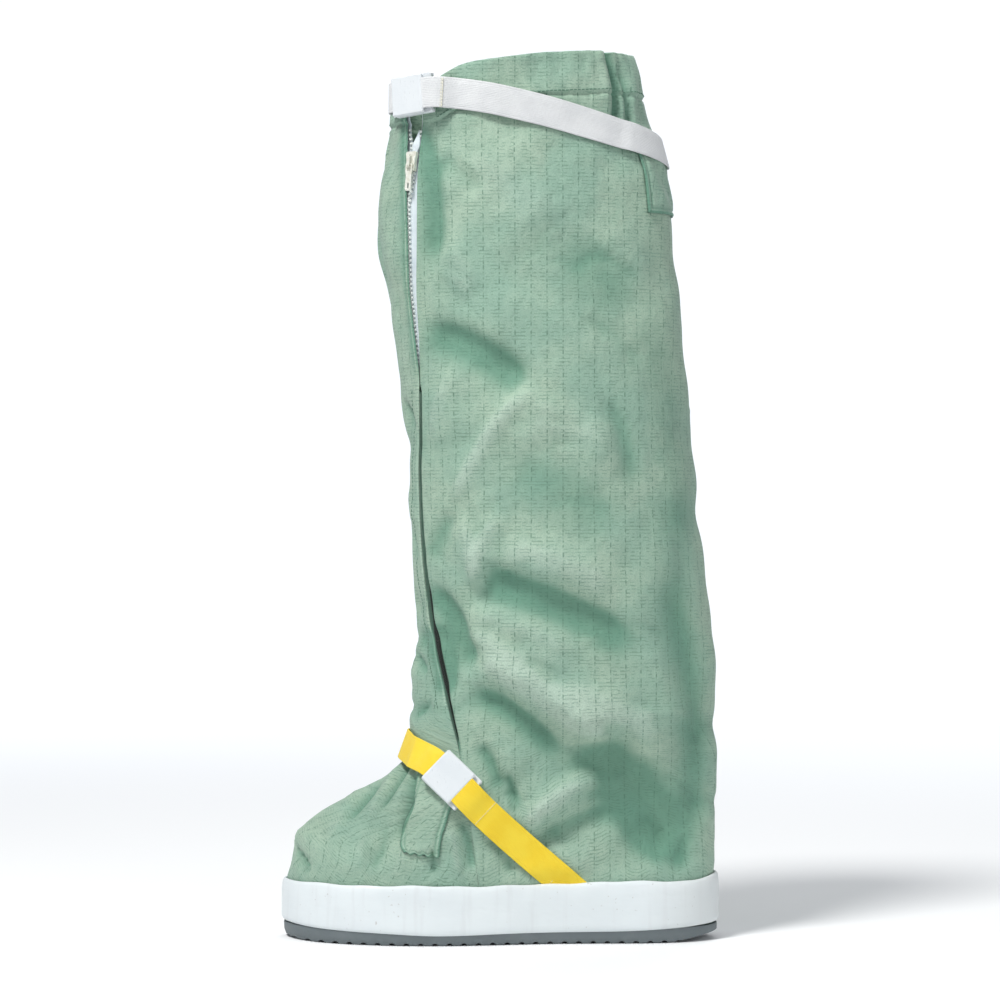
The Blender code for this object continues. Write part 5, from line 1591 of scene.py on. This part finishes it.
# %% [markdown]
# ## Tabs
# Two patches of the same fabric are sewn on: one at the back holds the collar strap, one lies
# under the ankle buckle. Each is a thin slab over the fabric's relief, puffed between its
# stitch lines, and a sunk line shows where it is sewn.

# %% Patches
TAB_GAP = 0.0002
TAB_WALL = 0.0018


def patch_slab(name, share, z, inside, puff, node, thick=1.0):
    """A patch over the skin. inside: distance of each point from the patch's edge."""
    base, out = read_chart(PLACES, share, z), read_chart(NORMALS, share, z)
    level = relief(share % 1.0, z)
    rounded = TAB_WALL * (1 - smooth(inside / 0.0012)) * 0.5
    stitch = 0.0009 * hill(inside - 0.0034, 0.0007)
    under = base + out * (level + TAB_GAP + 0.5 * thick * rounded)[..., None]
    over = base + out * (level + TAB_GAP + thick * (TAB_WALL - rounded - stitch + puff))[..., None]
    # Painted shade: darker along the patch's edge and along its stitch line, passed to the fabric's colour
    # as the coordinate's third value.
    painted_edge_shade = -0.0108 * (1 - smooth(inside / 0.0024)) - stitch * 4
    coordinate = np.stack([share * girth(z), z, painted_edge_shade], axis=-1)
    item = slab(name, under, over, SAGE, coordinate)
    dress(item, "fabric", "boot", node)
    return item


BACK_TAB_OUTER, BACK_TAB_INNER = 0.0385, 0.0330
UNDER_STRAP = 0.0070


def build_back_tab():
    """From under the strap down, wider by a seam on the outer side."""
    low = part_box("back_tab")[0][2]
    arc = (-BACK_TAB_OUTER + spaced(60) * (BACK_TAB_OUTER + BACK_TAB_INNER))[None, :]
    share = 0.5 + arc / float(girth(low))
    top = through(TOP_STRAP_LINE, 1, 1 - np.abs(1 - 2 * share)) * BOOT_HEIGHT - UNDER_STRAP
    z = low + spaced(30)[:, None] * (top - low)
    share = np.broadcast_to(share, z.shape)
    inside = np.minimum(np.minimum(arc + BACK_TAB_OUTER, BACK_TAB_INNER - arc), z - low)
    puff = 0.0006 * np.sin(arc / 0.0031 + 2 * z / 0.01) * smooth((inside - 0.004) / 0.006)
    patch_slab("back_patch", share, z, inside, puff, "back_tab")


INSTEP_TAB = [
    # from top to bottom: front along, rise, rear along, rise
    (-0.184, 0.800, -0.092, 0.690), (-0.200, 0.640, -0.109, 0.540), (-0.212, 0.510, -0.119, 0.440),
    (-0.223, 0.380, -0.129, 0.340),
    (-0.224, 0.290, -0.133, 0.260), (-0.212, 0.220, -0.135, 0.190),
]


def build_instep_tab():
    rows = [(k / (len(INSTEP_TAB) - 1), *row) for k, row in enumerate(INSTEP_TAB)]
    down, across = spaced(40)[:, None], spaced(34)[None, :]
    front_x, front_z, rear_x, rear_z = [through(rows, column, down) for column in (1, 2, 3, 4)]
    x = (front_x + (rear_x - front_x) * across) * SOLE_LENGTH
    crinkle = 0.0007 * np.sin(across * 26) * smooth((down - 0.7) / 0.3)
    z = FOXING_HEIGHT + (front_z + (rear_z - front_z) * across) * INSTEP_RISE + crinkle
    share = outer_share(x, z)
    long_side = (INSTEP_TAB[0][1] - INSTEP_TAB[-1][1]) * INSTEP_RISE
    wide = (INSTEP_TAB[0][2] - INSTEP_TAB[0][0]) * SOLE_LENGTH
    inside = np.minimum(np.minimum(across, 1 - across) * wide, (1 - down) * long_side)
    puff = 0.0006 * np.sin(across * 7 + down * 4) * smooth((inside - 0.003) / 0.005)
    thick = 0.25 + 0.75 * smooth((down - 0.1) / 0.2)
    patch_slab("instep_patch", share, z, inside, puff, "instep_tab", thick)


build_back_tab()
build_instep_tab()

# %% Thread
THREAD_SIZE = (0.0019, 0.0007, 0.0004)


def sewing_thread(name, colour):
    mix = Recipe(name)
    twist = mix.noise(mix.place(), 1400.0, 2.0)
    tone = mix.blend(twist, colour, tuple(0.8 * part for part in colour))
    return mix.finish(tone, 0.7, twist, 0.0001, sheen=0.1)


def stitch_rows(name, rows, look, slot_name, pitch=0.0027):
    """Short rounded stitches along lines. rows: points of each line and the way out at them."""
    work = bmesh.new()
    bmesh.ops.create_cube(work, size=1, matrix=Matrix.Diagonal((*THREAD_SIZE, 1)))
    bmesh.ops.bevel(work, geom=work.edges[:], offset=0.00015, segments=1, profile=0.5, affect="EDGES")
    work.verts.index_update()
    corners = np.array([corner.co[:] for corner in work.verts])
    faces = [[corner.index for corner in face.verts] for face in work.faces]
    work.free()
    points, all_faces = [], []
    for line, out in rows:
        travelled = np.concatenate([[0], np.cumsum(np.linalg.norm(np.diff(line, axis=0), axis=1))])
        stops = np.arange(pitch / 2, travelled[-1], pitch)
        middle = np.column_stack([np.interp(stops, travelled, line[:, k]) for k in range(3)])
        ahead = np.column_stack([np.interp(stops + 0.0003, travelled, line[:, k]) for k in range(3)])
        behind = np.column_stack([np.interp(stops - 0.0003, travelled, line[:, k]) for k in range(3)])
        up = np.column_stack([np.interp(stops, travelled, out[:, k]) for k in range(3)])
        for place, run, normal in zip(middle, ahead - behind, up):
            run = run / np.linalg.norm(run)
            side = np.cross(normal, run)
            all_faces += [[corner + len(points) * len(corners) for corner in face] for face in faces]
            points.append(place + corners @ np.array([run, side, np.cross(run, side)]))
    mesh = bpy.data.meshes.new(name)
    mesh.from_pydata(np.concatenate(points).tolist(), [], all_faces)
    mesh.shade_smooth()
    dress(new_object(name, mesh, look), slot_name, "boot")


GREEN_THREAD = sewing_thread("green thread", (0.110, 0.230, 0.165))
PALE_THREAD = sewing_thread("pale thread", (0.880, 0.720, 0.260))

# %% Stitches of the ankle strap
STITCHED_AT = (-0.0084, 0.0374)
strap_rows = []
for x in STITCHED_AT:
    outer_half = ankle_seats[:, 5, 1] < 0
    k = int(np.argmin(np.where(outer_half, np.abs(ankle_seats[:, 5, 0] - x), 1.0)))
    out = ankle_out[k, 1:-1]
    line = ankle_seats[k, 1:-1] + out * (ankle_level[k, 0] + WEB_THICKNESS + 0.0001)
    strap_rows.append((line, out))
stitch_rows("strap_stitches", strap_rows, PALE_THREAD, "yellow_webbing", 0.0022)
CREAM_AT = -0.0352
CREAM_ROWS = (-0.0006, 0.0006)
CREAM_THREAD = sewing_thread("cream thread", (0.800, 0.780, 0.640))
collar_rows = []
for aside in CREAM_ROWS:
    outer_half = top_seats[:, 5, 1] < 0
    k = int(np.argmin(np.where(outer_half, np.abs(top_seats[:, 5, 0] - CREAM_AT), 1.0)))
    out = top_out[k, 1:-1]
    line = top_seats[k, 1:-1] + out * (top_level[k, 0] + WEB_THICKNESS + 0.0001) + top_along[k] * aside
    collar_rows.append((line, out))
stitch_rows("collar_stitches", collar_rows, CREAM_THREAD, "white_webbing", 0.0021)

# %% Stitches of the hem and the placket


def on_cloth(share, z, lift=0.0001):
    """Places on the fabric and the way out there."""
    out = read_chart(NORMALS, share, z)
    level = relief(share % 1.0, z) + lift
    return read_chart(PLACES, share, z) + out * level[..., None], out


hem_share = np.linspace(float(zip_share(BOOT_HEIGHT - HEM_HEIGHT)) + 0.02, 1.0, 700)
hem_z = BOOT_HEIGHT - HEM_HEIGHT - rim_dip(read_chart(PLACES, hem_share, BOOT_HEIGHT - HEM_HEIGHT)[:, 0])
placket_z = np.linspace(PLACKET_FULL, SLIT_END, 160)
before = zip_share(placket_z) - 0.0085 / girth(placket_z)
placket_line, placket_out = on_cloth(before, placket_z)
placket_line = placket_line + placket_out * placket(0.0085, placket_z)[:, None]
cloth_rows = [on_cloth(hem_share, hem_z + 0.0018), (placket_line, placket_out)]
stitch_rows("cloth_stitches", cloth_rows, GREEN_THREAD, "fabric")
